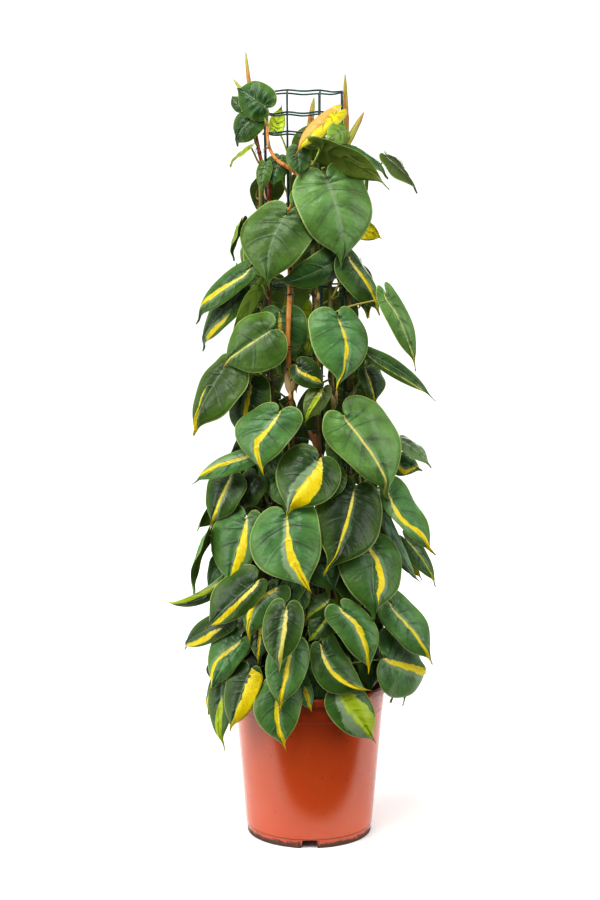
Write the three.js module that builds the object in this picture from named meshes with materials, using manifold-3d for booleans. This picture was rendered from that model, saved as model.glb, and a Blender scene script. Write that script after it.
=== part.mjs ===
// A potted brasil philodendron. Heart-leaved vines are tied to a round column of welded garden
// netting, which stands with the vines in the soil of a terracotta-coloured nursery pot.
// Millimetres, +Z up. The pot stands on z = 0 with its axis on the Z axis, and the side that the
// reference picture shows looks along -Y, with +X to the right.

import * as THREE from "three";
import { mergeVertices } from "three/addons/utils/BufferGeometryUtils.js";
import Module from "manifold-3d";

const wasm = await Module();
wasm.setup();

// Pot
const POT_HEIGHT = 235;
const RIM_RADIUS = 120;
const SKIRT_HEIGHT = 11;
const SKIRT_WALL = 1.8;
const WALL_TOP_RADIUS = 114.8;
const WALL_FOOT_RADIUS = 96.4;
const POT_WALL = 2.2;
const BRIM_THICKNESS = 2.8;
const RIM_ROUND = 1.2;
const BAND_HEIGHT = 38;
const BAND_STEP = 0.7;
const FOOT_RADIUS = 94.5;
const FOOT_HEIGHT = 14;
const FOOT_WALL = 3;
const FOOT_FLARE = 1.1;
const GROOVE = 0.8;
const FLOOR_TOP = 16;
const FLOOR_UNDERSIDE = 13.6;
const FLOOR_CORNER = 2;
const HUB_RADIUS = 18;
const NOTCH_COUNT = 4;
const NOTCH_BOTTOM_WIDTH = 25;
const NOTCH_TOP_WIDTH = 21;
const NOTCH_HEIGHT = 12;
const NOTCH_DEPTH = 30;
const NOTCH_SPARE = 1;
const DRAIN_COUNT = 6;
const DRAIN_RADIUS = 5;
const DRAIN_CIRCLE_RADIUS = 58;
const DRAIN_CUT = 10;
const DRAIN_SIDES = 6;
const POT_SEGMENTS = 28;

// Soil
const SOIL_LEVEL = 205;
const SOIL_CROWN = 2;
const SOIL_GAP = 0.4;
const HOLE_SIDES = 6;
const HOLE_RISE = 15;

// Netting column
const WIRE_RADIUS = 1.35;
const WIRE_SIDES = 4;
const COLUMN_RADIUS = 61.3;
const COLUMN_WIRES = 8;
const COLUMN_LEAN = -0.0105;
const PRONG_BOTTOM = 150;
const NET_TOP = 1116;
const RING_SPACING = 111;
const LOWEST_RING = 280;
const EDGE_RINGS = [1085, NET_TOP];
const REGULAR_RINGS = 8;
const RING_INSET = 1.9;
const RING_SIDES = 3;

// Vines
const STEM_RADIUS = 4.2;
const STEM_CIRCLE_RADIUS = 68;
const STEM_BOTTOM = 150;
const STEM_STEP = 70;
const STEM_WANDER = 1.5;
const STEM_SIDES = 5;
const BULGE_REACH = 70;
const TAIL_RADIUS = 3.8;
const TAIL_STEP = 16;
const TAIL_OVERLAP = 8;
const LOWEST_NODE = SOIL_LEVEL + 12;
const NODE_SPACING = 24;
const STALK_RADIUS = 1.7;
const STALK_SIDES = 3;
const STALK_STEP = 27;
const STALK_DROP = 30;
const STALK_SEAT = 0.1;
const STALK_SINK = 0.2;
const STALK_OUT = 0.35;
const STALK_UP = 0.2;
const STALK_BEND = 0.3;
const TIE_RADIUS = 0.9;
const TIE_SIDES = 3;
const TIE_GAP = 0.4;
const TIE_SLACK = 1.25;
const TIE_SEGMENTS = 10;
const TIE_TILT = 0.12;
const TIE_TAIL = 7;
const TIE_TAIL_RISE = new THREE.Vector3(3, 0, 7);
// Radius and distance along a rolled leaf, as shares of its widest radius and of its length
const SPEAR_PROFILE = [
  [0, 0],
  [0.6, 0.02],
  [1, 0.35],
  [0.55, 0.8],
  [0, 1],
];

// Each stem: its azimuth round the column from the front, where its climb ends, and by pixel and
// distance from the column's axis how its free end goes on
const VINES = [
  {
    name: "vine_1",
    azimuth: -48,
    top: 985,
    tail: [[261, 160, 84], [257, 140, 86], [253, 118, 80], [251, 98, 78]],
  },
  {
    name: "vine_2",
    azimuth: -18.7,
    top: 950,
    bulge: { height: 752, depth: 19 },
    tail: [[297, 193, 71], [304, 182, 78], [291, 169, 86], [277, 160, 88], [269, 146, 88], [267, 114, 86]],
  },
  { name: "vine_3", azimuth: 15, top: 975, tail: [[309, 182, 70], [306, 171, 72]] },
  { name: "vine_4", azimuth: 33, top: 975, tail: [[336, 166, 74], [342, 152, 84]] },
  { name: "vine_5", azimuth: 69, top: 1066 },
  { name: "vine_6", azimuth: 109, top: 930 },
  { name: "vine_7", azimuth: 168, top: 1062 },
  { name: "vine_8", azimuth: -161, top: 1020 },
  { name: "vine_9", azimuth: -109, top: 985 },
];
// Rolled young leaves: vine, pixels of root and tip, distances from the axis and width in pixels
const SPEARS = [
  ["vine_1", 251, 99, 245.5, 51, 78, 80, 4],
  ["vine_1", 251, 101, 233, 79, 78, 84, 4],
  ["vine_2", 267, 116, 266, 104, 86, 88, 5],
  ["vine_3", 307, 174, 300, 160, 72, 70, 5],
  ["vine_4", 341, 154, 364, 112, 83, 98, 7],
  ["vine_5", 346.5, 133, 345, 73, 68, 70, 5],
  ["vine_7", 309, 136, 314, 97, -68, -74, 6],
];
// Twist ties: the vine that each one holds, and its height
const TIES = [
  ["vine_2", 824],
  ["vine_3", 822],
  ["vine_5", 824],
  ["vine_5", 680],
  ["vine_3", 706],
];
// How far a blade may give way to its neighbours along its face, and a stalk sideways to its own
const SHIFTS = [0, 2, -2, 4, -4, 6, -6, 9, -9, 12, -12, 15, -15, 18];
const SWINGS = [0, 0.25, -0.25, 0.5, -0.5];
const NEAR_NODES = 24;
const STALK_CLEARANCE = 0.4;

// Leaf blades
const BLADE_THICKNESS = 0.8;
const CLEAR_THICKNESS = 3;
const FOLD = 0.16;
const BOW = 0.07;
const WAVE = 0.035;
const WAVE_TURNS = 9;
const WAVE_DRIFT = 0.11;
const WAVE_OFFSET = 1.3;
const WIDEST = 0.95;
const FACE_LIFT = 0.35;
const LEAST_SEEN = 0.2;
// Half outline of a blade: along the midrib in lengths from the petiole, and across in widths
const OUTLINE = [
  [-0.12, 0.16],
  [0, 0.43],
  [0.32, 0.5],
  [0.65, 0.37],
  [0.89, 0.08],
];
const MIDRIB = [0, 0.48, 1];

// The reference picture's camera, so that a leaf can be placed by the pixels where it shows
const VIEW = {
  eye: new THREE.Vector3(-14.3, -2775.6, 973.5),
  tilt: 0.138,
  focal: 1867,
  centre: [300, 450],
};

const colours = {
  pot: new THREE.MeshStandardMaterial({ color: 0xc65a3c, roughness: 0.5, metalness: 0 }),
  soil: new THREE.MeshStandardMaterial({ color: 0x2b1e16, roughness: 1, metalness: 0 }),
  netting: new THREE.MeshStandardMaterial({ color: 0x0d3f38, roughness: 0.45, metalness: 0.1 }),
  tie: new THREE.MeshStandardMaterial({ color: 0x14301f, roughness: 0.6, metalness: 0 }),
  leaf: new THREE.MeshStandardMaterial({ color: 0x3c6b35, roughness: 0.5, metalness: 0 }),
};

// Same small generator each time, so that the leaves out of the picture's sight repeat exactly
function makeRandom(seed) {
  let state = seed;
  return (low, high) => {
    state = (state * 9301 + 49297) % 233280;
    return low + ((high - low) * state) / 233280;
  };
}

// Solids

// Turns a closed geometry into a solid, with equal corners merged and empty triangles dropped
function toSolid(geometry) {
  const bare = geometry.clone();
  bare.deleteAttribute("normal");
  bare.deleteAttribute("uv");
  const merged = mergeVertices(bare, 1e-4);
  const index = merged.index.array;
  const corners = [];
  for (let i = 0; i < index.length; i += 3) {
    const [a, b, c] = [index[i], index[i + 1], index[i + 2]];
    if (a !== b && b !== c && c !== a) corners.push(a, b, c);
  }
  return new wasm.Manifold(
    new wasm.Mesh({
      numProp: 3,
      vertProperties: Float32Array.from(merged.attributes.position.array),
      triVerts: Uint32Array.from(corners),
    }),
  );
}

function toMesh(name, solid, material) {
  const { vertProperties, triVerts } = solid.getMesh();
  const geometry = new THREE.BufferGeometry();
  geometry.setAttribute("position", new THREE.BufferAttribute(vertProperties, 3));
  geometry.setIndex(new THREE.BufferAttribute(triVerts, 1));
  const mesh = new THREE.Mesh(geometry, material);
  mesh.name = name;
  return mesh;
}

function polygon(sides, radius) {
  const corners = Array.from({ length: sides }, (_, i) => {
    const angle = (i * 2 * Math.PI) / sides;
    return new THREE.Vector2(radius * Math.cos(angle), radius * Math.sin(angle));
  });
  return new THREE.Shape(corners);
}

function tube(path, radius, sides, steps) {
  const options = { steps, extrudePath: path, bevelEnabled: false };
  return toSolid(new THREE.ExtrudeGeometry(polygon(sides, radius), options));
}

// A lathe body about the Z axis from [radius, height] pairs that start and end on the axis
function turned(profile, segments) {
  const points = profile.map(([radius, height]) => new THREE.Vector2(radius, height));
  const geometry = new THREE.LatheGeometry(points, segments);
  geometry.rotateX(Math.PI / 2);
  return geometry;
}

// Pot

function wallRadius(height) {
  const share = (height - FOOT_HEIGHT) / (POT_HEIGHT - SKIRT_HEIGHT - FOOT_HEIGHT);
  return WALL_FOOT_RADIUS + (WALL_TOP_RADIUS - WALL_FOOT_RADIUS) * share;
}

function innerRadius(height) {
  const share = (height - FLOOR_TOP) / (POT_HEIGHT - FLOOR_TOP);
  return WALL_FOOT_RADIUS - POT_WALL + (WALL_TOP_RADIUS - WALL_FOOT_RADIUS) * share;
}

function makePot() {
  const bandBottom = POT_HEIGHT - BAND_HEIGHT;
  const skirtBottom = POT_HEIGHT - SKIRT_HEIGHT;
  const brimUnderside = POT_HEIGHT - BRIM_THICKNESS;
  const profile = [
    [0, 0],
    [HUB_RADIUS, 0],
    [HUB_RADIUS, FLOOR_UNDERSIDE],
    [FOOT_RADIUS - FOOT_WALL, FLOOR_UNDERSIDE],
    [FOOT_RADIUS - FOOT_WALL, 0],
    [FOOT_RADIUS, 0],
    [FOOT_RADIUS + FOOT_FLARE, FOOT_HEIGHT - GROOVE],
    [WALL_FOOT_RADIUS, FOOT_HEIGHT],
    [wallRadius(bandBottom), bandBottom],
    [wallRadius(bandBottom) + BAND_STEP, bandBottom + BAND_STEP],
    [WALL_TOP_RADIUS + BAND_STEP, brimUnderside],
    [RIM_RADIUS - SKIRT_WALL, brimUnderside],
    [RIM_RADIUS - SKIRT_WALL, skirtBottom],
    [RIM_RADIUS, skirtBottom],
    [RIM_RADIUS, POT_HEIGHT - RIM_ROUND],
    [RIM_RADIUS - RIM_ROUND, POT_HEIGHT],
    [innerRadius(POT_HEIGHT) + RIM_ROUND, POT_HEIGHT],
    [innerRadius(POT_HEIGHT), POT_HEIGHT - RIM_ROUND],
    [innerRadius(FLOOR_TOP), FLOOR_TOP + FLOOR_CORNER],
    [innerRadius(FLOOR_TOP) - FLOOR_CORNER, FLOOR_TOP],
    [0, FLOOR_TOP],
  ];
  const body = toSolid(turned(profile, POT_SEGMENTS));
  return body.subtract(wasm.Manifold.union([...drainNotches(), ...drainHoles()]));
}

// Slots through the foot ring that let water out sideways
function drainNotches() {
  const shape = new THREE.Shape([
    new THREE.Vector2(-NOTCH_BOTTOM_WIDTH / 2, -NOTCH_SPARE),
    new THREE.Vector2(NOTCH_BOTTOM_WIDTH / 2, -NOTCH_SPARE),
    new THREE.Vector2(NOTCH_TOP_WIDTH / 2, NOTCH_HEIGHT),
    new THREE.Vector2(-NOTCH_TOP_WIDTH / 2, NOTCH_HEIGHT),
  ]);
  return Array.from({ length: NOTCH_COUNT }, (_, i) => {
    const cutter = new THREE.ExtrudeGeometry(shape, { depth: NOTCH_DEPTH, bevelEnabled: false });
    cutter.rotateX(Math.PI / 2);
    cutter.translate(0, NOTCH_DEPTH / 2 - FOOT_RADIUS, 0);
    cutter.rotateZ((i * 2 * Math.PI) / NOTCH_COUNT);
    return toSolid(cutter);
  });
}

function drainHoles() {
  return Array.from({ length: DRAIN_COUNT }, (_, i) => {
    const angle = ((i + 0.5) * 2 * Math.PI) / DRAIN_COUNT;
    const cutter = new THREE.CylinderGeometry(DRAIN_RADIUS, DRAIN_RADIUS, DRAIN_CUT, DRAIN_SIDES);
    cutter.rotateX(Math.PI / 2);
    const [x, y] = [Math.sin(angle), Math.cos(angle)].map((share) => share * DRAIN_CIRCLE_RADIUS);
    cutter.translate(x, y, FLOOR_UNDERSIDE);
    return toSolid(cutter);
  });
}

// Netting column

function columnX(z) {
  return COLUMN_LEAN * (z - SOIL_LEVEL);
}

// A point beside the column: azimuth in degrees from the front towards +X, radius from its axis
function aroundColumn(azimuth, radius, z) {
  const angle = THREE.MathUtils.degToRad(azimuth);
  return new THREE.Vector3(columnX(z) + radius * Math.sin(angle), -radius * Math.cos(angle), z);
}

const wireAzimuths = Array.from({ length: COLUMN_WIRES }, (_, i) => ((i + 0.5) * 360) / COLUMN_WIRES);
const ringHeights = [
  ...Array.from({ length: REGULAR_RINGS }, (_, i) => LOWEST_RING + i * RING_SPACING),
  ...EDGE_RINGS,
];

// One closed ring wire: it runs straight past each upright, sunk into its inner side
function makeRing(height) {
  const radius = (COLUMN_RADIUS - RING_INSET) / Math.cos(Math.PI / (2 * COLUMN_WIRES));
  const ring = new THREE.TorusGeometry(radius, WIRE_RADIUS, RING_SIDES, 2 * COLUMN_WIRES);
  ring.rotateZ(Math.PI / (2 * COLUMN_WIRES));
  ring.translate(columnX(height), 0, height);
  return toSolid(ring);
}

function makeNetting() {
  const uprights = wireAzimuths.map((azimuth) => {
    const ends = [PRONG_BOTTOM, NET_TOP + WIRE_RADIUS].map((z) => aroundColumn(azimuth, COLUMN_RADIUS, z));
    return tube(new THREE.LineCurve3(...ends), WIRE_RADIUS, WIRE_SIDES, 1);
  });
  return wasm.Manifold.union([...uprights, ...ringHeights.map(makeRing)]);
}

// Soil

// The soil fills the pot, with a plain hole for each prong of the netting and each stem
function makeSoil() {
  const inset = SOIL_GAP / Math.cos(Math.PI / POT_SEGMENTS);
  const bottom = FLOOR_TOP + SOIL_GAP;
  const profile = [
    [0, bottom],
    [innerRadius(bottom) - FLOOR_CORNER - inset, bottom],
    [innerRadius(bottom + FLOOR_CORNER) - inset, bottom + FLOOR_CORNER + SOIL_GAP],
    [innerRadius(SOIL_LEVEL) - inset, SOIL_LEVEL],
    [COLUMN_RADIUS, SOIL_LEVEL + SOIL_CROWN],
    [0, SOIL_LEVEL],
  ];
  const prongs = wireAzimuths.map((azimuth) => {
    const ends = [PRONG_BOTTOM, SOIL_LEVEL + HOLE_RISE].map((z) => aroundColumn(azimuth, COLUMN_RADIUS, z));
    return hole(ends, WIRE_RADIUS);
  });
  const stems = VINES.map((vine) => hole(climbCorners(vine).slice(0, 2), STEM_RADIUS));
  return toSolid(turned(profile, POT_SEGMENTS)).subtract(wasm.Manifold.union([...prongs, ...stems]));
}

// A straight cutter a little longer below and wider than what will stand in its hole
function hole([bottom, top], radius) {
  const below = bottom.clone().addScaledVector(top.clone().sub(bottom).normalize(), -SOIL_GAP);
  const wide = (radius + SOIL_GAP) / Math.cos(Math.PI / HOLE_SIDES);
  return tube(new THREE.LineCurve3(below, top), wide, HOLE_SIDES, 1);
}

// Reading the picture

// The ray from the eye through a pixel meets an upright cylinder about the column's axis. A
// negative radius takes the far side, and a ray that misses gives its nearest point to the axis.
function pointAtPixel(x, y, radius) {
  const across = (x - VIEW.centre[0]) / VIEW.focal;
  const down = (y - VIEW.centre[1]) / VIEW.focal;
  const [cos, sin] = [Math.cos(VIEW.tilt), Math.sin(VIEW.tilt)];
  const ray = new THREE.Vector3(across, cos - down * sin, -sin - down * cos);
  let axisX = 0;
  let point = VIEW.eye.clone();
  for (let pass = 0; pass < 3; pass++) {
    const [fromX, fromY] = [VIEW.eye.x - axisX, VIEW.eye.y];
    const a = ray.x * ray.x + ray.y * ray.y;
    const b = fromX * ray.x + fromY * ray.y;
    const c = fromX * fromX + fromY * fromY - radius * radius;
    const root = Math.sqrt(Math.max(b * b - a * c, 0));
    const reach = (-b - Math.sign(radius) * root) / a;
    point = VIEW.eye.clone().addScaledVector(ray, reach);
    axisX = columnX(point.z);
  }
  return point;
}

// Leaves

// Each row places a leaf that the picture shows: pixel of the petiole's end, pixel of the tip,
// width in pixels, the two ends' distances from the column's axis (negative behind it), and what
// sets it apart from a plain hanging leaf: its turn about the midrib in degrees, the bow and sway
// of its midrib, and how far one half is wider than the other.
const FRONT_LEAVES = [
  // Top of the column
  ["a1", 266, 107, 238, 87, 36, 92, 106, { bow: 0.16 }],
  ["a2", 254, 118, 236, 144, 32, 94, 108, { bow: 0.2 }],
  ["a3", 241, 108, 231, 96, 11, 104, 112],
  ["a5", 275, 131, 282, 106, 15, -86, -92],
  ["a6", 252, 147, 231, 165, 10, 100, 120, { turn: 60 }],
  ["a9", 317, 134, 289, 154, 27, 26, 30],
  ["a10", 298.5, 150, 300, 178, 24, 74, 84],
  ["a11", 279, 158, 272, 186, 21, 84, 92],
  ["a12", 270, 166, 266, 193, 15, 76, 82],
  ["b1", 337, 113, 294, 152, 18, 82, 98, { turn: 20, bow: 0.05 }],
  ["b2", 349, 127, 331, 138, 17, 84, 88],
  ["b6", 318, 147, 388, 184, 25, 106, 165, { turn: -115, width: 70 }],
  ["b7", 344, 151, 386, 177, 12, 96, 140, { turn: -40 }],
  ["b8", 387, 157, 416, 191, 13, 130, 170, { turn: -30 }],
  ["b9", 352, 226, 383, 237, 24, -92, -120],
  // Upper third
  ["c1", 327.5, 177, 348, 262, 73, 98, 118, { sway: -0.03 }],
  ["c2", 287, 214, 268, 285, 67, 92, 118, { sway: 0.09 }],
  ["c3", 341, 257, 277, 284, 24, 82, 92, { turn: -25 }],
  ["c4", 246, 271, 194, 318, 20, 118, 168],
  ["c5", 242, 222, 231, 258, 9, 112, 122, { turn: 70 }],
  ["c6", 240, 291, 199, 347, 22, 110, 150],
  ["c7", 260, 280, 227, 350, 13, 96, 128, { turn: 105 }],
  ["c8", 271, 330, 222, 364, 56, 104, 142, { skew: -0.12 }],
  ["c9", 281, 314, 284, 370, 50, 71, 69.5, { bow: 0.03 }],
  ["c10", 226, 366, 192, 430, 41, 135, 185, { skew: -0.28 }],
  ["c11", 338, 317, 342.6, 385, 56, 98, 120, { sway: -0.07, skew: 0.15 }],
  ["c12", 350, 258, 381, 312, 27, 96, 124, { skew: 0.4 }],
  ["c13", 387, 295, 417, 367, 22, 150, 185],
  ["c14", 370, 354, 434, 397, 16, 112, 195],
  ["c15", 366, 371, 375, 403, 42, 96, 110, { skew: -0.3 }],
  ["c17", 298, 366, 324, 388, 28, 84, 90],
  ["c18", 323, 388, 304, 421, 22, 82, 98],
  ["c25", 312, 226, 290, 262, 24, 78, 84],
  ["c26", 303, 190, 292, 210, 18, 76, 80],
  ["c27", 346, 262, 340, 292, 14, -86, -92],
  ["c29", 312, 308, 306, 357, 20, -80, -92],
  // Middle
  ["d1", 278, 413, 262, 471.5, 60, 106, 140, { sway: 0.16 }],
  ["d2", 345, 417, 391.5, 494, 63, 102, 146, { sway: -0.05, skew: -0.13 }],
  ["d3", 317.5, 460, 285, 511, 52, 98, 130],
  ["d4", 354, 491, 331, 571, 66, 104, 138, { sway: -0.03 }],
  ["d5", 252, 456, 192, 481, 19, 122, 182],
  ["d6", 286, 515, 309, 589, 72, 118, 152, { sway: 0.08, skew: 0.08 }],
  ["d7", 246, 519, 228, 588, 49, 122, 152, { skew: 0.2 }],
  ["d8", 230, 477, 211, 524, 37, 128, 156],
  ["d9", 250, 384, 248, 444, 42, 98, 112],
  ["d12", 256, 478, 240, 510, 26, 102, 114],
  ["d13", 230, 500, 196, 529, 14, -130, -165],
  ["d14", 209, 533, 192, 590, 8, 160, 185, { turn: 70 }],
  ["d15", 226, 558, 207, 588, 22, 140, 162],
  ["d16", 226, 580, 162, 604, 12, 150, 225, { turn: -40, sway: -0.1 }],
  ["d17", 402, 440, 429, 466, 15, 130, 185],
  ["d18", 394, 461, 421, 470, 30, 120, 150],
  ["d19", 389, 491, 434, 551, 31, 130, 198, { sway: 0.1, skew: -0.35 }],
  ["d20", 380, 506, 421, 588, 11, 118, 172, { turn: 60 }],
  ["d21", 406, 540, 437, 584, 17, 150, 195],
  ["d22", 398, 554, 422, 578, 15, 126, 165],
  ["d23", 370, 544, 373, 616, 62, 120, 156],
  ["d24", 312, 550, 336, 592, 40, 100, 114],
  ["d25", 392, 462, 372, 482, 20, 96, 100],
  // Bottom, over and in front of the pot's rim
  ["e1", 257, 583, 209, 629, 39, 136, 178, { skew: 0.2 }],
  ["e2", 275, 589, 246, 639, 31, 132, 160, { sway: 0.1, skew: -0.2 }],
  ["e3", 300, 574, 276, 617, 24, 112, 126],
  ["e4", 228, 620, 181, 647, 18, 150, 195],
  ["e5", 238, 641, 210, 688, 34, 148, 176, { skew: 0.35 }],
  ["e6", 224, 674, 220, 747, 25, 146, 166],
  ["e7", 249, 673, 231, 730, 33, 140, 162, { skew: 0.1 }],
  ["e8", 286.5, 609, 277, 669, 40, 138, 164],
  ["e9", 291, 645, 278, 709, 41, 132, 160],
  ["e10", 282, 684, 284, 748, 47, 130, 150, { sway: 0.09 }],
  ["e11", 340, 694, 375, 742, 40, 134, 156],
  ["e12", 323, 647, 369, 690, 38, 128, 152, { sway: 0.18 }],
  ["e13", 343, 610, 368, 671, 38, 134, 162, { sway: -0.12, skew: 0.1 }],
  ["e14", 392, 605, 433, 661, 33, 148, 195],
  ["e15", 385, 658, 428, 672, 49, 142, 178],
  ["e16", 328, 600, 306, 618, 20, 106, 118],
  ["e17", 330, 614, 308, 642, 26, 110, 124],
  ["e19", 366, 645, 372, 692, 26, 106, 120],
  ["e20", 300, 680, 311, 712, 18, 120, 130],
  ["e21", 262, 622, 258, 662, 22, 120, 134],
  ["e24", 256, 552, 240, 578, 22, 110, 120],
];

// Leaves on the sides and back, which the picture doesn't show: the same sizes, laid out evenly in
// a spiral that climbs. Towards the top they are a little shorter, closer in and nearer the back,
// because the picture's outline is slender there. Lengths in millimetres, angles in degrees.
const BACK = {
  count: 36,
  seed: 65,
  turn: 83,
  sector: [78, 282],
  narrowing: 0.6,
  heights: [262, 1035],
  lengths: [82, 122],
  shortening: 22,
  reach: 128,
  closing: 50,
  unevenness: 8,
  hang: 0.88,
  slant: 0.36,
  widths: [0.74, 0.86],
  twist: 20,
  drift: 14,
  sway: 0.05,
  bows: [0.6, 1.7],
};

function backLeaves() {
  const random = makeRandom(BACK.seed);
  const [from, to] = BACK.sector;
  const [lowest, highest] = BACK.heights;
  return Array.from({ length: BACK.count }, (_, i) => {
    const share = i / (BACK.count - 1);
    const round = (i * BACK.turn + random(0, 2 * BACK.drift)) % (to - from);
    const azimuth = 180 + (from + round - 180) * (1 - BACK.narrowing * share);
    const z = THREE.MathUtils.lerp(lowest, highest, share);
    const length = random(...BACK.lengths) - BACK.shortening * share;
    const out = BACK.reach - BACK.closing * share + random(-BACK.unevenness, BACK.unevenness);
    const drift = random(-BACK.drift, BACK.drift);
    return {
      name: `back_${i}`,
      base: aroundColumn(azimuth, out, z),
      tip: aroundColumn(azimuth + drift, out + BACK.slant * length, z - BACK.hang * length),
      width: length * random(...BACK.widths),
      turn: random(-BACK.twist, BACK.twist),
      bow: BOW * random(...BACK.bows),
      sway: random(-BACK.sway, BACK.sway),
      skew: 0,
    };
  });
}

function frontLeaves() {
  return FRONT_LEAVES.map(([name, baseX, baseY, tipX, tipY, across, baseOut, tipOut, shape = {}]) => {
    const base = pointAtPixel(baseX, baseY, baseOut);
    const tip = pointAtPixel(tipX, tipY, tipOut);
    return { name, base, tip, across, turn: 0, bow: BOW, sway: 0, skew: 0, ...shape };
  });
}

// Adds the directions of a blade: along its midrib, out of its upper face and across it. The face
// looks away from the column and up a little, and where the picture shows the leaf also to the
// eye, then turns about the midrib. A width in pixels is one that shows, so a blade seen aslant is
// wider than it looks.
function orient(leaf) {
  const along = leaf.tip.clone().sub(leaf.base);
  const length = along.length();
  along.normalize();
  const middle = leaf.base.clone().lerp(leaf.tip, 0.5);
  const face = new THREE.Vector3(middle.x - columnX(middle.z), middle.y, 0).normalize();
  const toEye = VIEW.eye.clone().sub(middle).normalize();
  face.z = FACE_LIFT;
  if (leaf.across) face.addScaledVector(toEye, Math.sign(face.dot(toEye)));
  face.addScaledVector(along, -face.dot(along)).normalize();
  face.applyAxisAngle(along, THREE.MathUtils.degToRad(leaf.turn));
  const side = along.clone().cross(face);
  const scale = VIEW.eye.distanceTo(middle) / VIEW.focal;
  const seen = Math.max(Math.abs(face.dot(toEye)), LEAST_SEEN);
  const width = leaf.width ?? Math.min((leaf.across * scale) / seen, WIDEST * length);
  return { ...leaf, along, face, side, length, width };
}

// A point of the blade: u along the midrib in lengths, v across in widths from -0.5 to 0.5
function bladePoint(leaf, u, v, lift) {
  const arch = u > 0 ? 4 * u * (1 - u) : 2 * u;
  const across = v * leaf.width * (1 + Math.sign(v) * leaf.skew);
  const phase = leaf.base.z * WAVE_DRIFT + (v > 0 ? WAVE_OFFSET : 0);
  const ripple = WAVE * leaf.width * 4 * v * v * Math.sin(WAVE_TURNS * u + phase);
  return leaf.base
    .clone()
    .addScaledVector(leaf.along, u * leaf.length)
    .addScaledVector(leaf.side, across + leaf.sway * leaf.length * arch)
    .addScaledVector(leaf.face, leaf.bow * leaf.length * arch - FOLD * Math.abs(across) + ripple + lift);
}

// Corners of a blade in the leaf's own measures, and its triangles: a fan from the petiole and
// from the middle of the midrib out to the waved edge, alike on both halves and both faces
const bladeCorners = [
  ...MIDRIB.map((u) => [u, 0]),
  ...OUTLINE,
  ...OUTLINE.map(([u, v]) => [u, -v]),
];

function halfTriangles(edge) {
  const [base, middle, tip] = [0, 1, 2];
  return [
    [base, edge, edge + 1],
    [base, edge + 1, edge + 2],
    [base, edge + 2, middle],
    [middle, edge + 2, edge + 3],
    [middle, edge + 3, edge + 4],
    [middle, edge + 4, tip],
  ];
}

const nearStart = MIDRIB.length;
const farStart = nearStart + OUTLINE.length;
const faceTriangles = [
  ...halfTriangles(nearStart),
  ...halfTriangles(farStart).map(([a, b, c]) => [a, c, b]),
];
const rimLoop = [
  0,
  ...OUTLINE.map((_, i) => farStart + i),
  MIDRIB.length - 1,
  ...OUTLINE.map((_, i) => farStart - 1 - i),
];

function makeBlade(leaf, thickness, shift) {
  const count = bladeCorners.length;
  const position = [thickness / 2, -thickness / 2].flatMap((offset) =>
    bladeCorners.flatMap(([u, v]) => bladePoint(leaf, u, v, offset + shift).toArray()),
  );
  const upperFace = faceTriangles.flat();
  const underside = faceTriangles.flatMap(([a, b, c]) => [a + count, c + count, b + count]);
  const rim = rimLoop.flatMap((a, i) => {
    const b = rimLoop[(i + 1) % rimLoop.length];
    return [a, b, a + count, b, b + count, a + count];
  });
  const geometry = new THREE.BufferGeometry();
  geometry.setAttribute("position", new THREE.Float32BufferAttribute(position, 3));
  geometry.setIndex([...upperFace, ...underside, ...rim]);
  return toSolid(geometry);
}

// Vines

const spears = SPEARS.map(([vine, baseX, baseY, tipX, tipY, baseOut, tipOut, across]) => ({
  vine,
  base: pointAtPixel(baseX, baseY, baseOut),
  tip: pointAtPixel(tipX, tipY, tipOut),
  across,
}));

// The stem climbs beside the column from the soil, wandering a little, and may bow outwards once
function climbPoint(vine, z) {
  const wander = STEM_WANDER * Math.sin(z / 95 + vine.azimuth);
  const bulge = vine.bulge ?? { height: 0, depth: 0 };
  const away = (z - bulge.height) / BULGE_REACH;
  const out = bulge.depth * Math.exp(-away * away);
  return aroundColumn(vine.azimuth + wander, STEM_CIRCLE_RADIUS + out, z);
}

// The corners of the climbing stem, which runs straight from each to the next
function climbCorners(vine) {
  const steps = Math.round((vine.top - STEM_BOTTOM) / STEM_STEP);
  return Array.from({ length: steps + 1 }, (_, i) =>
    climbPoint(vine, THREE.MathUtils.lerp(STEM_BOTTOM, vine.top, i / steps)),
  );
}

function climbAt(vine, z) {
  const corners = climbCorners(vine);
  const next = corners.findIndex((corner) => corner.z > z);
  const [from, to] = [corners[next - 1], corners[next]];
  return from.clone().lerp(to, (z - from.z) / (to.z - from.z));
}

function polyline(points) {
  const path = new THREE.CurvePath();
  points.slice(1).forEach((point, i) => path.add(new THREE.LineCurve3(points[i], point)));
  return path;
}

// The free end of a stem above its climb
function tailCurve(vine) {
  const start = climbPoint(vine, vine.top - TAIL_OVERLAP);
  return new THREE.CatmullRomCurve3([start, ...vine.tail.map(([x, y, out]) => pointAtPixel(x, y, out))]);
}

function makeStem(vine) {
  const corners = climbCorners(vine);
  const climb = tube(polyline(corners), STEM_RADIUS, STEM_SIDES, corners.length - 1);
  if (!vine.tail) return climb;
  const curve = tailCurve(vine);
  return climb.add(tube(curve, TAIL_RADIUS, STEM_SIDES, Math.round(curve.getLength() / TAIL_STEP)));
}

// Points of a stem where a stalk can leave it
function stemNodes(vine) {
  const count = Math.floor((vine.top - LOWEST_NODE) / NODE_SPACING);
  const points = Array.from({ length: count }, (_, i) => climbPoint(vine, LOWEST_NODE + i * NODE_SPACING));
  if (vine.tail) {
    const curve = tailCurve(vine);
    points.push(...curve.getSpacedPoints(Math.round(curve.getLength() / TAIL_STEP)).slice(1));
  }
  return points.map((point) => ({ vine: vine.name, point }));
}

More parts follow.
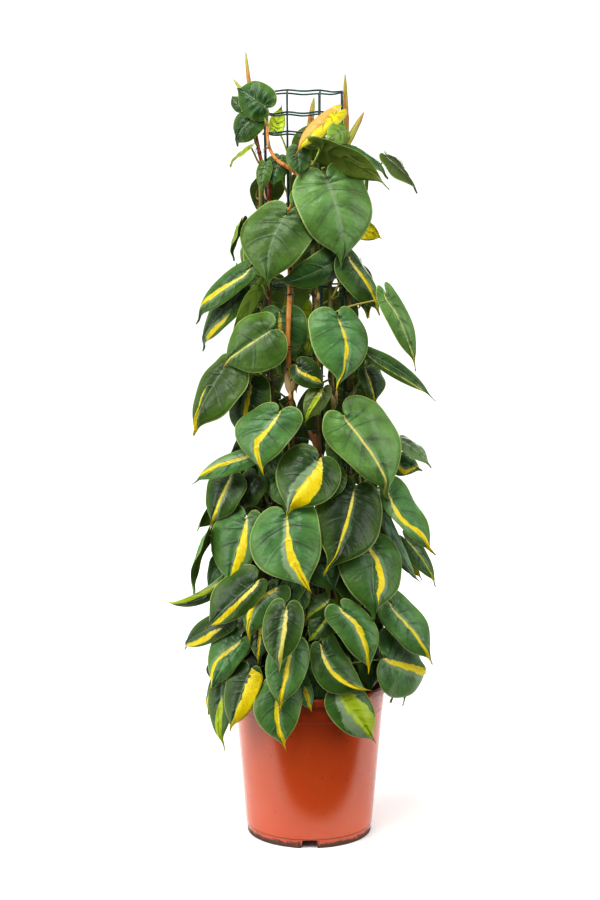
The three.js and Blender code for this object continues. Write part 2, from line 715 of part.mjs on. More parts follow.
// A young leaf, still rolled into a spear
function makeSpear({ base, tip, across }) {
  const axis = tip.clone().sub(base);
  const length = axis.length();
  const radius = (across * VIEW.eye.distanceTo(base)) / VIEW.focal / 2;
  const profile = SPEAR_PROFILE.map(([wide, far]) => new THREE.Vector2(wide * radius, far * length));
  const spear = new THREE.LatheGeometry(profile, STEM_SIDES);
  const turn = new THREE.Quaternion().setFromUnitVectors(new THREE.Vector3(0, 1, 0), axis.normalize());
  spear.applyQuaternion(turn);
  spear.translate(base.x, base.y, base.z);
  return toSolid(spear);
}

// A twist tie: a wire loop round an upright and the stem beside it, with its two twisted ends
function makeTie(vine, z) {
  const stem = climbAt(vine, z);
  const azimuth = wireAzimuths.reduce((best, other) => {
    const gap = (one) => Math.abs(((one - vine.azimuth + 540) % 360) - 180);
    return gap(other) < gap(best) ? other : best;
  });
  const wire = aroundColumn(azimuth, COLUMN_RADIUS, z);
  const reach = TIE_GAP + TIE_RADIUS;
  const towards = stem.clone().sub(wire).setZ(0);
  const apart = towards.length();
  towards.normalize();
  const long = (apart + STEM_RADIUS + WIRE_RADIUS) / 2 + reach;
  const short = (STEM_RADIUS + reach) * TIE_SLACK;
  const centre = wire.clone().lerp(stem, 0.5).addScaledVector(towards, (STEM_RADIUS - WIRE_RADIUS) / 2);
  const loop = new THREE.TorusGeometry(1, 0.5, TIE_SIDES, TIE_SEGMENTS);
  const position = loop.attributes.position;
  for (let i = 0; i < position.count; i++) {
    const [x, y] = [position.getX(i), position.getY(i)];
    const angle = Math.atan2(y, x);
    const thick = (Math.hypot(x, y) - 1) * 2 * TIE_RADIUS;
    const [a, b] = [(long + thick) * Math.cos(angle), (short + thick) * Math.sin(angle)];
    const height = position.getZ(i) * 2 * TIE_RADIUS;
    position.setXYZ(
      i,
      centre.x + a * towards.x - b * towards.y,
      centre.y + a * towards.y + b * towards.x,
      z + height + a * TIE_TILT,
    );
  }
  const start = centre.clone().addScaledVector(towards, long - TIE_RADIUS / 2);
  const end = start.clone().addScaledVector(towards, TIE_TAIL).add(TIE_TAIL_RISE);
  const tail = tube(new THREE.LineCurve3(start, end), TIE_RADIUS, TIE_SIDES, 1);
  return toSolid(loop).add(tail);
}

// Growing the foliage

const standing = [];

function boxesMeet(one, other) {
  return [0, 1, 2].every((k) => one.min[k] <= other.max[k] && other.min[k] <= one.max[k]);
}

function stand(solid, role) {
  const one = { solid, box: solid.boundingBox(), ...role };
  standing.push(one);
  return one;
}

// Whether a solid touches anything that stands and isn't excused
function meets(solid, excused) {
  const box = solid.boundingBox();
  return standing.some((other) => {
    if (excused(other) || !boxesMeet(box, other.box)) return false;
    const shared = solid.intersect(other.solid);
    const touching = !shared.isEmpty();
    shared.delete();
    return touching;
  });
}

// Stands a blade where it belongs, or moved a little along its face until it is clear
function placeBlade(leaf) {
  const shift = SHIFTS.find((one) => {
    const guard = makeBlade(leaf, CLEAR_THICKNESS, one);
    const blocked = meets(guard, () => false);
    guard.delete();
    return !blocked;
  });
  if (shift === undefined) throw new Error(`${leaf.name} finds no room`);
  return stand(makeBlade(leaf, BLADE_THICKNESS, shift), { kind: "blade", leaf, shift });
}

// The stalk leaves its stem at a node, rises behind the blade and bends over into its underside
function stalkCurve({ leaf, shift }, root, swing) {
  const [heel, middle] = [MIDRIB[0], MIDRIB[1]].map((u) => bladePoint(leaf, u, 0, shift));
  const end = heel.lerp(middle, STALK_SEAT).addScaledVector(leaf.face, -STALK_SINK * BLADE_THICKNESS);
  const span = root.distanceTo(end);
  const outward = new THREE.Vector3(root.x - columnX(root.z), root.y, 0).normalize();
  const sideways = new THREE.Vector3(0, 0, 1).cross(outward);
  const rise = root
    .clone()
    .addScaledVector(outward, STALK_OUT * span)
    .addScaledVector(sideways, swing * span);
  rise.z += STALK_UP * span;
  const bend = end.clone().addScaledVector(leaf.face, -STALK_BEND * span);
  return new THREE.CubicBezierCurve3(root, rise, bend, end);
}

function stalkTube(curve, radius) {
  const steps = THREE.MathUtils.clamp(Math.round(curve.getLength() / STALK_STEP), 2, 3);
  return tube(curve, radius, STALK_SIDES, steps);
}

// Grows the stalk of a blade from the nearest free node from which it gets there clear of all but
// its own stem
function growStalk(blade, nodes) {
  const ideal = blade.leaf.base.clone();
  ideal.z -= STALK_DROP;
  const near = nodes
    .filter((node) => !node.taken)
    .sort((one, other) => one.point.distanceTo(ideal) - other.point.distanceTo(ideal))
    .slice(0, NEAR_NODES);
  for (const node of near) {
    const excused = (other) => other === blade || (other.kind === "stem" && other.vine === node.vine);
    for (const swing of SWINGS) {
      const curve = stalkCurve(blade, node.point, swing);
      const guard = stalkTube(curve, STALK_RADIUS + STALK_CLEARANCE);
      const blocked = meets(guard, excused);
      guard.delete();
      if (blocked) continue;
      node.taken = true;
      blade.vine = node.vine;
      stand(stalkTube(curve, STALK_RADIUS), { kind: "stalk", vine: node.vine });
      return;
    }
  }
  throw new Error(`${blade.leaf.name} finds no node`);
}

const pot = makePot();
const soil = makeSoil();
const netting = makeNetting();
for (const solid of [pot, soil, netting]) stand(solid, { kind: "base" });
for (const vine of VINES) stand(makeStem(vine), { kind: "stem", vine: vine.name });
for (const spear of spears) stand(makeSpear(spear), { kind: "stem", vine: spear.vine });
const ties = TIES.map(([name, z]) => {
  const tie = makeTie(VINES.find((vine) => vine.name === name), z);
  stand(tie, { kind: "tie" });
  return tie;
});
const blades = [...frontLeaves(), ...backLeaves()].map((leaf) => placeBlade(orient(leaf)));
const nodes = VINES.flatMap(stemNodes);
for (const blade of blades) growStalk(blade, nodes);

const group = new THREE.Group();
group.add(toMesh("pot", pot, colours.pot));
group.add(toMesh("soil", soil, colours.soil));
group.add(toMesh("netting_column", netting, colours.netting));
ties.forEach((tie, i) => group.add(toMesh(`tie_${i + 1}`, tie, colours.tie)));
for (const vine of VINES) {
  const parts = standing.filter((one) => one.vine === vine.name).map((one) => one.solid);
  group.add(toMesh(vine.name, wasm.Manifold.union(parts), colours.leaf));
}
export default group;
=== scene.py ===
"""A potted brasil philodendron: variegated vines tied to a column of garden netting.

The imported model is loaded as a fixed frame. Each of its solids is replaced by a finer surface of
the same form, worked out as whole numpy arrays, and what is too fine for the solids is added:
quilted blades, stalks, roots, papery sheaths, soil crumbs and wear. Lengths are worked out in
millimetres and put into the meshes in metres.
"""

import logging
import math
from dataclasses import dataclass, field, replace
from enum import Enum
from functools import partial

import bmesh
import bpy
import numpy as np
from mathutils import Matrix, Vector
from mathutils.bvhtree import BVHTree
from mathutils.kdtree import KDTree


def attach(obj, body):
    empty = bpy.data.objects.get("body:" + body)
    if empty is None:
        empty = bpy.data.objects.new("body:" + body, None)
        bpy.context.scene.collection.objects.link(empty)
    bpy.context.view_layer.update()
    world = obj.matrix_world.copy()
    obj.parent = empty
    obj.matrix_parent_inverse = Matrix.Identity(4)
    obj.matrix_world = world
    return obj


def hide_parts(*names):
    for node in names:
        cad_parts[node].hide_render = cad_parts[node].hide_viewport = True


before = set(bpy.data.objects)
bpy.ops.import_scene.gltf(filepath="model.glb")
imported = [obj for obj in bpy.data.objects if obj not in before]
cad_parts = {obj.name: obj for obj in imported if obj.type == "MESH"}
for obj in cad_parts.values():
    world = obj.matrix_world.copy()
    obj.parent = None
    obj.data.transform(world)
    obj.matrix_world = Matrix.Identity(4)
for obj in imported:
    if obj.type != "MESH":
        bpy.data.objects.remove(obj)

LOG = logging.getLogger("philodendron")
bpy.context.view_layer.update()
MM = 0.001

Points = np.ndarray
Curve = tuple[Points, Points, Points, Points]
Pixel = tuple[float, float]
PathRow = tuple[float, float, float]
Place = tuple[float, float, float]


# Shared helpers


def linear(hex_colour: str, alpha: float = 1.0) -> tuple[float, float, float, float]:
    """Turn an sRGB hex colour into linear light.

    Args:
        hex_colour: six hex digits.
        alpha: the fourth value.

    Returns:
        Linear red, green, blue and alpha.
    """
    parts = [int(hex_colour[i : i + 2], 16) / 255 for i in (0, 2, 4)]
    light = [c / 12.92 if c <= 0.04045 else ((c + 0.055) / 1.055) ** 2.4 for c in parts]
    return (*light, alpha)


def feed(node: bpy.types.Node, values: dict) -> None:
    """Link or set a node's inputs.

    Args:
        node: the node.
        values: value or output socket by the input's name or index; None leaves one as it is.
    """
    for key, value in values.items():
        if isinstance(value, bpy.types.NodeSocket):
            node.id_data.links.new(value, node.inputs[key])
        elif value is not None:
            node.inputs[key].default_value = value


def add_node(
    tree: bpy.types.NodeTree,
    kind: str,
    *values: object,
    link: dict | None = None,
    out: str | int = 0,
    **settings: object,
) -> bpy.types.NodeSocket:
    """Add a shader node, set its settings, and set or link its inputs.

    Args:
        tree: the node tree.
        kind: Blender's class name of the node without "ShaderNode".
        *values: value or output socket for the first inputs.
        link: the same for further inputs by name or index.
        out: the output to return.
        **settings: attributes of the node itself.

    Returns:
        The chosen output socket.
    """
    node = tree.nodes.new("ShaderNode" + kind)
    for name, value in settings.items():
        setattr(node, name, value)
    feed(node, {**dict(enumerate(values)), **(link or {})})
    return node.outputs[out]


def blend(node: partial, share: object, first: object, second: object) -> bpy.types.NodeSocket:
    """Mix two colours, by a share that is 0 for the first and 1 for the second."""
    return node("Mix", share, link={6: first, 7: second}, data_type="RGBA", out=2)


def new_material(name: str) -> tuple[bpy.types.Material, bpy.types.Node, partial]:
    """Start a material.

    Args:
        name: its name.

    Returns:
        The material, its surface shader, and a function that adds a node to its tree.
    """
    mat = bpy.data.materials.new(name)
    mat.use_nodes = True
    return mat, mat.node_tree.nodes["Principled BSDF"], partial(add_node, mat.node_tree)


def unit(vectors: Points) -> Points:
    """Scale vectors along the last axis to length one."""
    return vectors / np.maximum(np.linalg.norm(vectors, axis=-1, keepdims=True), 1e-12)


def smooth_step(low: float, high: float, x: Points) -> Points:
    """Rise smoothly from 0 at low to 1 at high: 3t^2 - 2t^3."""
    t = np.clip((x - low) / (high - low), 0, 1)
    return t * t * (3 - 2 * t)


@dataclass
class Skin:
    """Vertices, faces and per-vertex attributes gathered for one mesh."""

    vertices: list[Points] = field(default_factory=list)
    quads: list[Points] = field(default_factory=list)
    attributes: dict[str, list[Points]] = field(default_factory=dict)
    count: int = 0

    def add(self, vertices: Points, quads: Points, **attributes: Points) -> None:
        """Append a patch.

        Args:
            vertices: n by 3 points in millimetres.
            quads: m by 4 indices into them.
            **attributes: n by k values, the same names for every patch.
        """
        self.vertices.append(vertices.reshape(-1, 3))
        self.quads.append(quads.reshape(-1, 4) + self.count)
        for name, values in attributes.items():
            wide = np.broadcast_to(values, (len(self.vertices[-1]), np.shape(values)[-1]))
            self.attributes.setdefault(name, []).append(wide)
        self.count += len(self.vertices[-1])

    def build(self, name: str, material: bpy.types.Material) -> bpy.types.Object:
        """Put the patches into one smooth-shaded object at the origin.

        Args:
            name: the object's name.
            material: its material.

        Returns:
            The object, linked to the scene.
        """
        vertices = np.concatenate(self.vertices) * MM
        quads = np.concatenate(self.quads)
        mesh = bpy.data.meshes.new(name)
        mesh.vertices.add(len(vertices))
        mesh.vertices.foreach_set("co", vertices.astype(np.float32).ravel())
        mesh.loops.add(quads.size)
        mesh.loops.foreach_set("vertex_index", quads.astype(np.int32).ravel())
        mesh.polygons.add(len(quads))
        mesh.polygons.foreach_set("loop_start", np.arange(0, quads.size, 4, dtype=np.int32))
        mesh.update(calc_edges=True)
        mesh.validate()
        mesh.polygons.foreach_set("use_smooth", np.ones(len(mesh.polygons), dtype=bool))
        for key, rows in self.attributes.items():
            values = np.concatenate(rows).astype(np.float32)
            kind = {1: "FLOAT", 3: "FLOAT_VECTOR", 4: "FLOAT_COLOR"}[values.shape[1]]
            slot = {1: "value", 3: "vector", 4: "color"}[values.shape[1]]
            layer = mesh.attributes.new(key, kind, "POINT")
            layer.data.foreach_set(slot, values.ravel())
        mesh.materials.append(material)
        obj = bpy.data.objects.new(name, mesh)
        bpy.context.scene.collection.objects.link(obj)
        return obj


def grid_quads(rows: int, columns: int, wrap: bool = False, flip: bool = False) -> Points:
    """Index the quads of a grid of points stored row by row.

    Args:
        rows: number of rows.
        columns: number of points in a row.
        wrap: whether the last column joins the first.
        flip: whether the faces turn over.

    Returns:
        An array of n by 4 indices.
    """
    i, j = np.meshgrid(np.arange(rows - 1), np.arange(columns if wrap else columns - 1), indexing="ij")
    k = (j + 1) % columns
    quads = np.stack([i * columns + j, i * columns + k, (i + 1) * columns + k, (i + 1) * columns + j], -1)
    return (quads[..., ::-1] if flip else quads).reshape(-1, 4)


def tube_patch(path: Points, radii: Points, sides: int) -> tuple[Points, Points]:
    """Carry a circle along a path, with its two ends closed to a point.

    The circle's plane is square to the path, and its start is turned as little as possible from
    ring to ring: each ring's first axis is the last one's with its share along the path removed.

    Args:
        path: n by 3 points.
        radii: n radii.
        sides: corners of the circle.

    Returns:
        The vertices and the quads of the closed tube.
    """
    tangents = unit(np.gradient(path, axis=0))
    first = np.empty_like(path)
    seed = np.array([0.0, 0.0, 1.0]) if abs(tangents[0, 2]) < 0.9 else np.array([1.0, 0.0, 0.0])
    axis = np.cross(tangents[0], seed)
    for i, tangent in enumerate(tangents):
        axis = axis - tangent * axis.dot(tangent)
        axis = axis / np.linalg.norm(axis)
        first[i] = axis
    second = np.cross(tangents, first)
    ends, first, second = with_ends(path), with_ends(first), with_ends(second)
    sizes = np.concatenate([[radii[0] * 0.02], radii, [radii[-1] * 0.02]])
    angle = np.linspace(0, 2 * np.pi, sides, endpoint=False)
    ring = np.cos(angle)[None, :, None] * first[:, None] + np.sin(angle)[None, :, None] * second[:, None]
    vertices = ends[:, None] + sizes[:, None, None] * ring
    return vertices.reshape(-1, 3), grid_quads(len(ends), sides, wrap=True)


def with_ends(rows: Points) -> Points:
    """Repeat the first and the last row, as the rings of a closed tube are."""
    return np.concatenate([rows[:1], rows, rows[-1:]])


def flat_tube(path: Points, radii: Points, outward: Points, share: float) -> tuple[Points, Points]:
    """Carry a circle along a path and press it flat.

    Args:
        path: n by 3 points.
        radii: n radii.
        outward: direction in which it is pressed.
        share: how much of its depth goes, from 0 to 1.

    Returns:
        The vertices and the quads of the closed tube.
    """
    vertices, quads = tube_patch(path, radii, 8)
    rings = vertices.reshape(-1, 8, 3)
    depth = (rings - with_ends(path)[:, None]) @ outward
    return (rings - depth[..., None] * outward * share).reshape(-1, 3), quads


def bezier(root: Points, rise: Points, bend: Points, end: Points, t: Points) -> Points:
    """Points of a cubic curve: (1-t)^3 a + 3t(1-t)^2 b + 3t^2(1-t) c + t^3 d."""
    t = np.asarray(t)[:, None]
    return (1 - t) ** 3 * root + 3 * t * (1 - t) ** 2 * rise + 3 * t * t * (1 - t) * bend + t**3 * end


def spaced(curve: Points, count: int) -> Points:
    """Space points evenly by length along a fine polyline.

    Args:
        curve: points at even parameters.
        count: number of steps.

    Returns:
        count + 1 points from its start to its end.
    """
    lengths = np.concatenate([[0], np.cumsum(np.linalg.norm(np.diff(curve, axis=0), axis=1))])
    wanted = np.linspace(0, lengths[-1], count + 1)
    return np.stack([np.interp(wanted, lengths, curve[:, k]) for k in range(3)], -1)


def catmull_rom(points: Points, count: int) -> Points:
    """Sample a centripetal Catmull-Rom curve at even parameters.

    Between two points the curve is a cubic whose end slopes are the non-uniform ones for knot
    steps of the square root of the distances. The ends are carried on by reflection.

    Args:
        points: n by 3 points that the curve passes.
        count: number of steps.

    Returns:
        count + 1 points.
    """
    before = 2 * points[0] - points[1]
    after = 2 * points[-1] - points[-2]
    p = np.concatenate([[before], points, [after]])
    t = np.linspace(0, len(points) - 1, count + 1)
    i = np.minimum(t.astype(int), len(points) - 2)
    w = (t - i)[:, None]
    p0, p1, p2, p3 = p[i], p[i + 1], p[i + 2], p[i + 3]
    step = [np.sqrt(np.linalg.norm(b - a, axis=1))[:, None] for a, b in ((p0, p1), (p1, p2), (p2, p3))]
    slope1 = ((p1 - p0) / step[0] - (p2 - p0) / (step[0] + step[1]) + (p2 - p1) / step[1]) * step[1]
    slope2 = ((p2 - p1) / step[1] - (p3 - p1) / (step[1] + step[2]) + (p3 - p2) / step[2]) * step[1]
    c2 = -3 * p1 + 3 * p2 - 2 * slope1 - slope2
    c3 = 2 * p1 - 2 * p2 + slope1 + slope2
    return p1 + slope1 * w + c2 * w**2 + c3 * w**3


# Colours and finishes


class Tone(Enum):
    """Ground colour of a blade's upper side."""

    DARK = "213b13"
    DEEP = "365727"
    MID = "4b6a30"
    GREY = "647c55"
    OLIVE = "47560a"
    LIME = "93a212"
    YOUNG = "6f8d28"
    YELLOW = "cab80e"


class Hue(Enum):
    """Colour of a blade's streak."""

    YELLOW = "cfb908"
    CREAM = "c4b95e"
    LIME = "8fa212"
    PALE = "7d9a72"
    PEACH = "cf9850"


@dataclass(frozen=True)
class BladeFinish:
    """Living leaf: a waxed cuticle over quilted tissue.

    The cuticle gives a soft satin gloss, the tissue bulges between impressed veins that sweep
    towards the tip, with painted shade darkening the colour in their furrows, and the variegation
    is a streak of yellow whose edges are frayed along the veins, with grey-green beside it where
    only some of the layers have lost their colour.
    """

    name: str = "leaf_waxed_quilted"
    underside: str = "65762a"
    grey_zone: str = "7a8f6c"
    fresh: str = "5c7e2a"
    margin: str = "a3b46c"
    vein: str = "7f9862"
    cream: str = "cdc080"
    lime: str = "829618"
    roughness: float = 0.34
    specular: float = 0.34

    def material(self) -> bpy.types.Material:
        """Build the blade's material.

        The blade's own attributes lead it: tone, streak, streak_tone, place and weave. Noises on
        the blade's vein coordinates fray the streak and mottle the tissue along the veins, and
        the streak tone's alpha is the leaf's own seed.

        Returns:
            The material.
        """
        mat, shader, node = new_material(self.name)
        maths = partial(node, "Math")
        plus, less = partial(maths, operation="ADD"), partial(maths, operation="SUBTRACT")
        times, scaled = partial(maths, operation="MULTIPLY"), partial(maths, operation="MULTIPLY_ADD")
        size, power = partial(maths, operation="ABSOLUTE"), partial(maths, operation="POWER")
        ranged, noise, mix = partial(node, "MapRange"), partial(node, "TexNoise"), partial(blend, node)
        tone = node("Attribute", attribute_name="tone", out="Color")
        streak_tone = node("Attribute", attribute_name="streak_tone", out="Color")
        seed = node("Attribute", attribute_name="streak_tone", out="Alpha")
        offset, half, lean = self.parts(node, "streak")
        length, across, zone_share = self.parts(node, "place")
        along, outward, under = self.parts(node, "weave")
        coords = node("TexCoord", out="Object")
        depth = scaled(seed, 50.0, times(across, 0.01))
        # Ragged edges of the streak: cells of about a tenth of a half's edge, along the veins
        cells = self.cells(node, along, outward, depth, 11.0, 1.6)
        coarse = plus(noise(cells, link={"Scale": 1.0, "Detail": 2.0}), -0.5)
        # Fibres of the tissue: cells of about 1.5 mm across the veins
        cells = self.cells(node, along, outward, depth, 64.0, 3.0)
        fibres = noise(cells, link={"Scale": 1.0, "Detail": 3.0, "Roughness": 0.6})
        fine = plus(fibres, -0.5)
        ragged = scaled(coarse, scaled(half, 1.3, 0.8), times(fine, 1.1))
        within = plus(less(half, size(offset)), ragged)
        streak = times(scaled(within, 1.6, 0.5, use_clamp=True), ranged(half, -0.3, 0.3))
        # Grey-green beside the streak: wider on the side to which it leans
        zone = less(scaled(half, 1.0, 1.6), size(less(offset, lean)))
        zone = scaled(coarse, scaled(half, 0.9, 2.4), zone)
        zone = scaled(zone, 0.3, scaled(fine, 2.6, 0.1), use_clamp=True)
        zone = times(times(zone, zone_share), ranged(half, -0.3, 0.6))
        # Side veins: furrows on each half, each with three faint ones before the next
        row = times(along, SIDE_VEINS * math.pi)
        near = less(1.0, size(maths(row, operation="SINE")))
        valley, furrow = power(near, 2.2), power(near, 9.0)
        faint = less(1.0, size(maths(times(row, 4.0), operation="SINE")))
        inner = power(less(1.0, outward, use_clamp=True), 0.7)
        clouds = noise(coords, link={"Scale": 42.0, "Detail": 3.0})
        # Painted shade: the ground colour darkens in the vein furrows; the clouds and fibres vary the tone
        # at random
        shade = scaled(times(valley, inner), -0.62, ranged(clouds, 0.3, 0.7, 0.72, 1.25))
        shade = scaled(fine, 0.4, shade)
        ground = node("VectorMath", tone, link={3: shade}, operation="SCALE")
        ground = mix(ranged(outward, 0.45, 1.0, 0.0, 0.42), ground, linear(self.fresh))
        ground = mix(times(times(furrow, 0.2), inner), ground, linear(self.vein))
        ground = mix(zone, ground, linear(self.grey_zone))
        # A leaf without a streak may have a broad paler band along its midrib
        band = maths(size(across), scaled(length, -5.5, 6.5), operation="DIVIDE")
        band = plus(less(1.0, band, use_clamp=True), fine, use_clamp=True)
        band = times(times(band, zone_share), ranged(half, -8.5, -8.0, 1.0, 0.0))
        ground = mix(band, ground, linear(self.grey_zone))
        rib = scaled(size(across), -1.1, 1.0, use_clamp=True)
        ground = mix(times(rib, 0.55), ground, linear(self.vein))
        ground = mix(ranged(outward, 0.955, 0.99, 0.0, 0.8), ground, linear(self.margin))
        # The streak is creamy towards the stalk and limy at its edges
        creamy = times(ranged(length, 0.42, 0.05, 0.0, 0.7), ranged(half, 5.0, 2.5))
        yellow = mix(creamy, streak_tone, linear(self.cream))
        yellow = mix(ranged(within, 1.6, 0.0, 0.0, 0.45), yellow, linear(self.lime))
        light = ranged(fibres, 0.25, 0.75, 0.84, 1.1)
        yellow = node("VectorMath", yellow, link={3: light}, operation="SCALE")
        # Green flecks along the veins where a wide streak kept some of its colour
        fleck = ranged(fibres, 0.6, 0.68, 1.0, 0.45)
        upper = mix(times(streak, fleck), ground, yellow)
        pale = mix(0.6, upper, linear(self.underside))
        grain = noise(coords, link={"Scale": 900.0, "Detail": 2.0})
        dents = noise(coords, link={"Scale": 110.0, "Detail": 2.0})
        height = scaled(times(valley, inner), -1.0, times(faint, -0.05))
        height = scaled(grain, 0.18, scaled(dents, 1.1, height))
        feed(shader, {
            "Base Color": mix(under, upper, pale),
            "Normal": node("Bump", link={"Height": height, "Strength": 0.85, "Distance": 0.0014}),
            "Roughness": scaled(under, 0.2, self.roughness),
            "IOR": 1.45,
            "Specular IOR Level": self.specular,
        })
        return mat

    def parts(self, node: partial, name: str) -> list[bpy.types.NodeSocket]:
        """Split a vector attribute into its three values."""
        vector = node("Attribute", attribute_name=name, out="Vector")
        return [node("SeparateXYZ", vector, out=k) for k in range(3)]

    def cells(self, node: partial, along: object, outward: object, depth: object, fine: float,
              coarse: float) -> bpy.types.NodeSocket:
        """Place of a noise on the vein coordinates.

        Args:
            node: adds a node to the tree.
            along: share along a half's edge.
            outward: share from midrib to edge.
            depth: the leaf's own layer of the noise.
            fine: cells along a half's edge.
            coarse: cells from midrib to edge.

        Returns:
            The noise's vector.
        """
        first = node("Math", along, fine, operation="MULTIPLY")
        second = node("Math", outward, coarse, operation="MULTIPLY")
        return node("CombineXYZ", first, second, depth)


@dataclass(frozen=True)
class Finish:
    """A plain finish: ground colour, a second colour in cloudy patches, grain and gloss.

    Attributes:
        name: what the real material is and how its surface was made.
        ground: main colour.
        patch: colour of the patches.
        patch_mm: size of the patches.
        patch_share: how much of the surface they take.
        grain_mm: size of the bumps.
        bump: strength of the bumps.
        roughness: from mirror 0 to chalk 1.
        tinted: whether the mesh's tone attribute takes the place of the ground colour.
    """

    name: str
    ground: str
    patch: str
    patch_mm: float
    patch_share: float = 0.5
    grain_mm: float = 1.0
    bump: float = 0.3
    roughness: float = 0.5
    tinted: bool = False

    def material(self) -> bpy.types.Material:
        """Build the material from two noises on Object coordinates.

        Returns:
            The material.
        """
        mat, shader, node = new_material(self.name)
        coords = node("TexCoord", out="Object")
        patches = node(
            "TexNoise", coords, link={"Scale": 1000 / self.patch_mm, "Detail": 5.0, "Roughness": 0.65}
        )
        low = 0.72 - 0.4 * self.patch_share
        share = node("MapRange", patches, low, low + 0.14)
        ground: object = linear(self.ground)
        if self.tinted:
            ground = node("Attribute", attribute_name="tone", out="Color")
        grain = node(
            "TexNoise", coords, link={"Scale": 1000 / self.grain_mm, "Detail": 4.0, "Roughness": 0.6}
        )
        relief = {"Height": grain, "Strength": self.bump, "Distance": self.grain_mm * MM * 0.5}
        feed(shader, {
            "Base Color": blend(node, share, ground, linear(self.patch)),
            "Normal": node("Bump", link=relief),
            "Roughness": self.roughness,
        })
        return mat


# Rolled steel wire dipped in green vinyl: a dark, slightly glossy skin
WIRE_COAT = Finish("wire_vinyl_dipped", "0b3a33", "16524a", 9.0, 0.3, 1.2, 0.15, 0.34)
# Thin green twist wire: a matt vinyl skin
TIE_COAT = Finish("twist_wire_vinyl", "16331f", "26482a", 5.0, 0.3, 0.6, 0.2, 0.5)
# Peat and bark: near-black crumbs that take no gloss
PEAT = Finish("soil_peat_bark", "1d130d", "3a281b", 7.0, 0.45, 1.6, 0.9, 0.95)
# Living stem: a fleshy skin, browner with age, with corky flecks
STEM_SKIN = Finish("stem_fleshy_skin", "7d6a2c", "3f2c17", 6.0, 0.3, 0.9, 0.35, 0.5, tinted=True)


@dataclass(frozen=True)
class PotFinish:
    """Injection-moulded polypropylene, terracotta-coloured.

    Its waxy gloss under a fine mould grain mirrors the lamps as broad bands and the dark before
    the pot as a soft U. The foot is scuffed and carries dry soil, the two seams carry painted
    shade, a darker and duller line in the step and the groove, and small specks of soil sit on the
    wall.

    Attributes:
        name: what the material is.
        ground: main colour.
        worn: colour of its cloudy patches.
        scuff: dry soil on the foot.
        speck: specks of soil.
        line: colour of the painted shade in the seams.
        seams: height in metres and depth of the painted shade in the step under the band and in
        the groove over the foot.
        roughness: from mirror 0 to chalk 1.
        specular: strength of its reflection.
        grain_mm: size of the mould grain.
    """

    name: str = "pot_moulded_polypropylene"
    ground: str = "ac3d13"
    worn: str = "b24c20"
    scuff: str = "34231a"
    speck: str = "4a2013"
    line: str = "5d2110"
    seams: tuple[tuple[float, float], ...] = ((0.1971, 0.4), (0.0137, 0.65))
    roughness: float = 0.18
    specular: float = 0.76
    grain_mm: float = 0.7

    def material(self) -> bpy.types.Material:
        """Build the pot's material.

        Returns:
            A material with cloudy colour, soil at the foot by height, specks and mould grain.
        """
        mat, shader, node = new_material(self.name)
        maths, ranged, mix = partial(node, "Math"), partial(node, "MapRange"), partial(blend, node)
        coords = node("TexCoord", out="Object")
        height = node("SeparateXYZ", coords, out="Z")
        clouds = node("TexNoise", coords, link={"Scale": 14.0, "Detail": 4.0})
        body = mix(clouds, linear(self.ground), linear(self.worn))
        rough = self.roughness
        # Painted shade in the seams: a darker line of colour, and a rougher surface, where the step and the
        # groove lie
        for seam, strength in self.seams:
            apart = maths(maths(height, seam, operation="SUBTRACT"), operation="ABSOLUTE")
            seam_shade = ranged(apart, 0.0008, 0.0015, strength, 0.0)
            body = mix(seam_shade, body, linear(self.line))
            rough = maths(seam_shade, 0.7, rough, operation="MULTIPLY_ADD")
        # Dry soil clings to the lowest 14 mm, thicker towards the ground
        crust = node("TexNoise", coords, link={"Scale": 150.0, "Detail": 6.0, "Roughness": 0.72})
        low = ranged(height, 0.0142, 0.0, -0.12, 0.3)
        dirt = ranged(maths(crust, low, operation="ADD"), 0.52, 0.6, 0.0, 0.95)
        body = mix(dirt, body, linear(self.scuff))
        rough = maths(dirt, 0.7, rough, operation="MULTIPLY_ADD")
        cells = node("TexVoronoi", coords, link={"Scale": 85.0, "Randomness": 1.0})
        few = node("TexNoise", coords, link={"Scale": 24.0, "Detail": 1.0})
        speck = maths(ranged(cells, 0.1, 0.06), ranged(few, 0.5, 0.54), operation="MULTIPLY")
        grain = node("TexNoise", coords, link={"Scale": 1000 / self.grain_mm, "Detail": 2.0})
        feed(shader, {
            "Base Color": mix(speck, body, linear(self.speck)),
            "Normal": node("Bump", link={"Height": grain, "Strength": 0.12, "Distance": 0.0003}),
            "Roughness": rough,
            "IOR": 1.49,
            "Specular IOR Level": self.specular,
        })
        return mat


# The plant's layout


@dataclass(frozen=True)
class View:
    """The picture's camera, by which leaves are placed at the pixels where they show."""

    eye: tuple[float, float, float] = (-14.3, -2775.6, 973.5)
    tilt: float = 0.138
    focal: float = 1867.0
    centre: Pixel = (300.0, 450.0)

    def ray(self, x: float, y: float) -> Points:
        """Direction from the eye through a pixel."""
        across, down = (x - self.centre[0]) / self.focal, (y - self.centre[1]) / self.focal
        cos, sin = math.cos(self.tilt), math.sin(self.tilt)
        return np.array([across, cos - down * sin, -sin - down * cos])

    def scale(self, point: Points) -> float:
        """Millimetres that a pixel spans at a point."""
        return float(np.linalg.norm(np.array(self.eye) - point)) / self.focal

    def point(self, x: float, y: float, radius: float) -> Points:
        """Meet an upright cylinder about the column's axis.

        Args:
            x: pixel across.
            y: pixel down.
            radius: distance from the axis, negative on the far side.

        Returns:
            The point, in millimetres.
        """
        ray, eye, axis_x = self.ray(x, y), np.array(self.eye), 0.0
        point = eye
        for _ in range(3):
            start = np.array([eye[0] - axis_x, eye[1]])
            a, b = ray[:2] @ ray[:2], start @ ray[:2]
            c = start @ start - radius * radius
            reach = (-b - math.copysign(1, radius) * math.sqrt(max(b * b - a * c, 0))) / a
            point = eye + ray * reach
            axis_x = column_x(point[2])
        return point


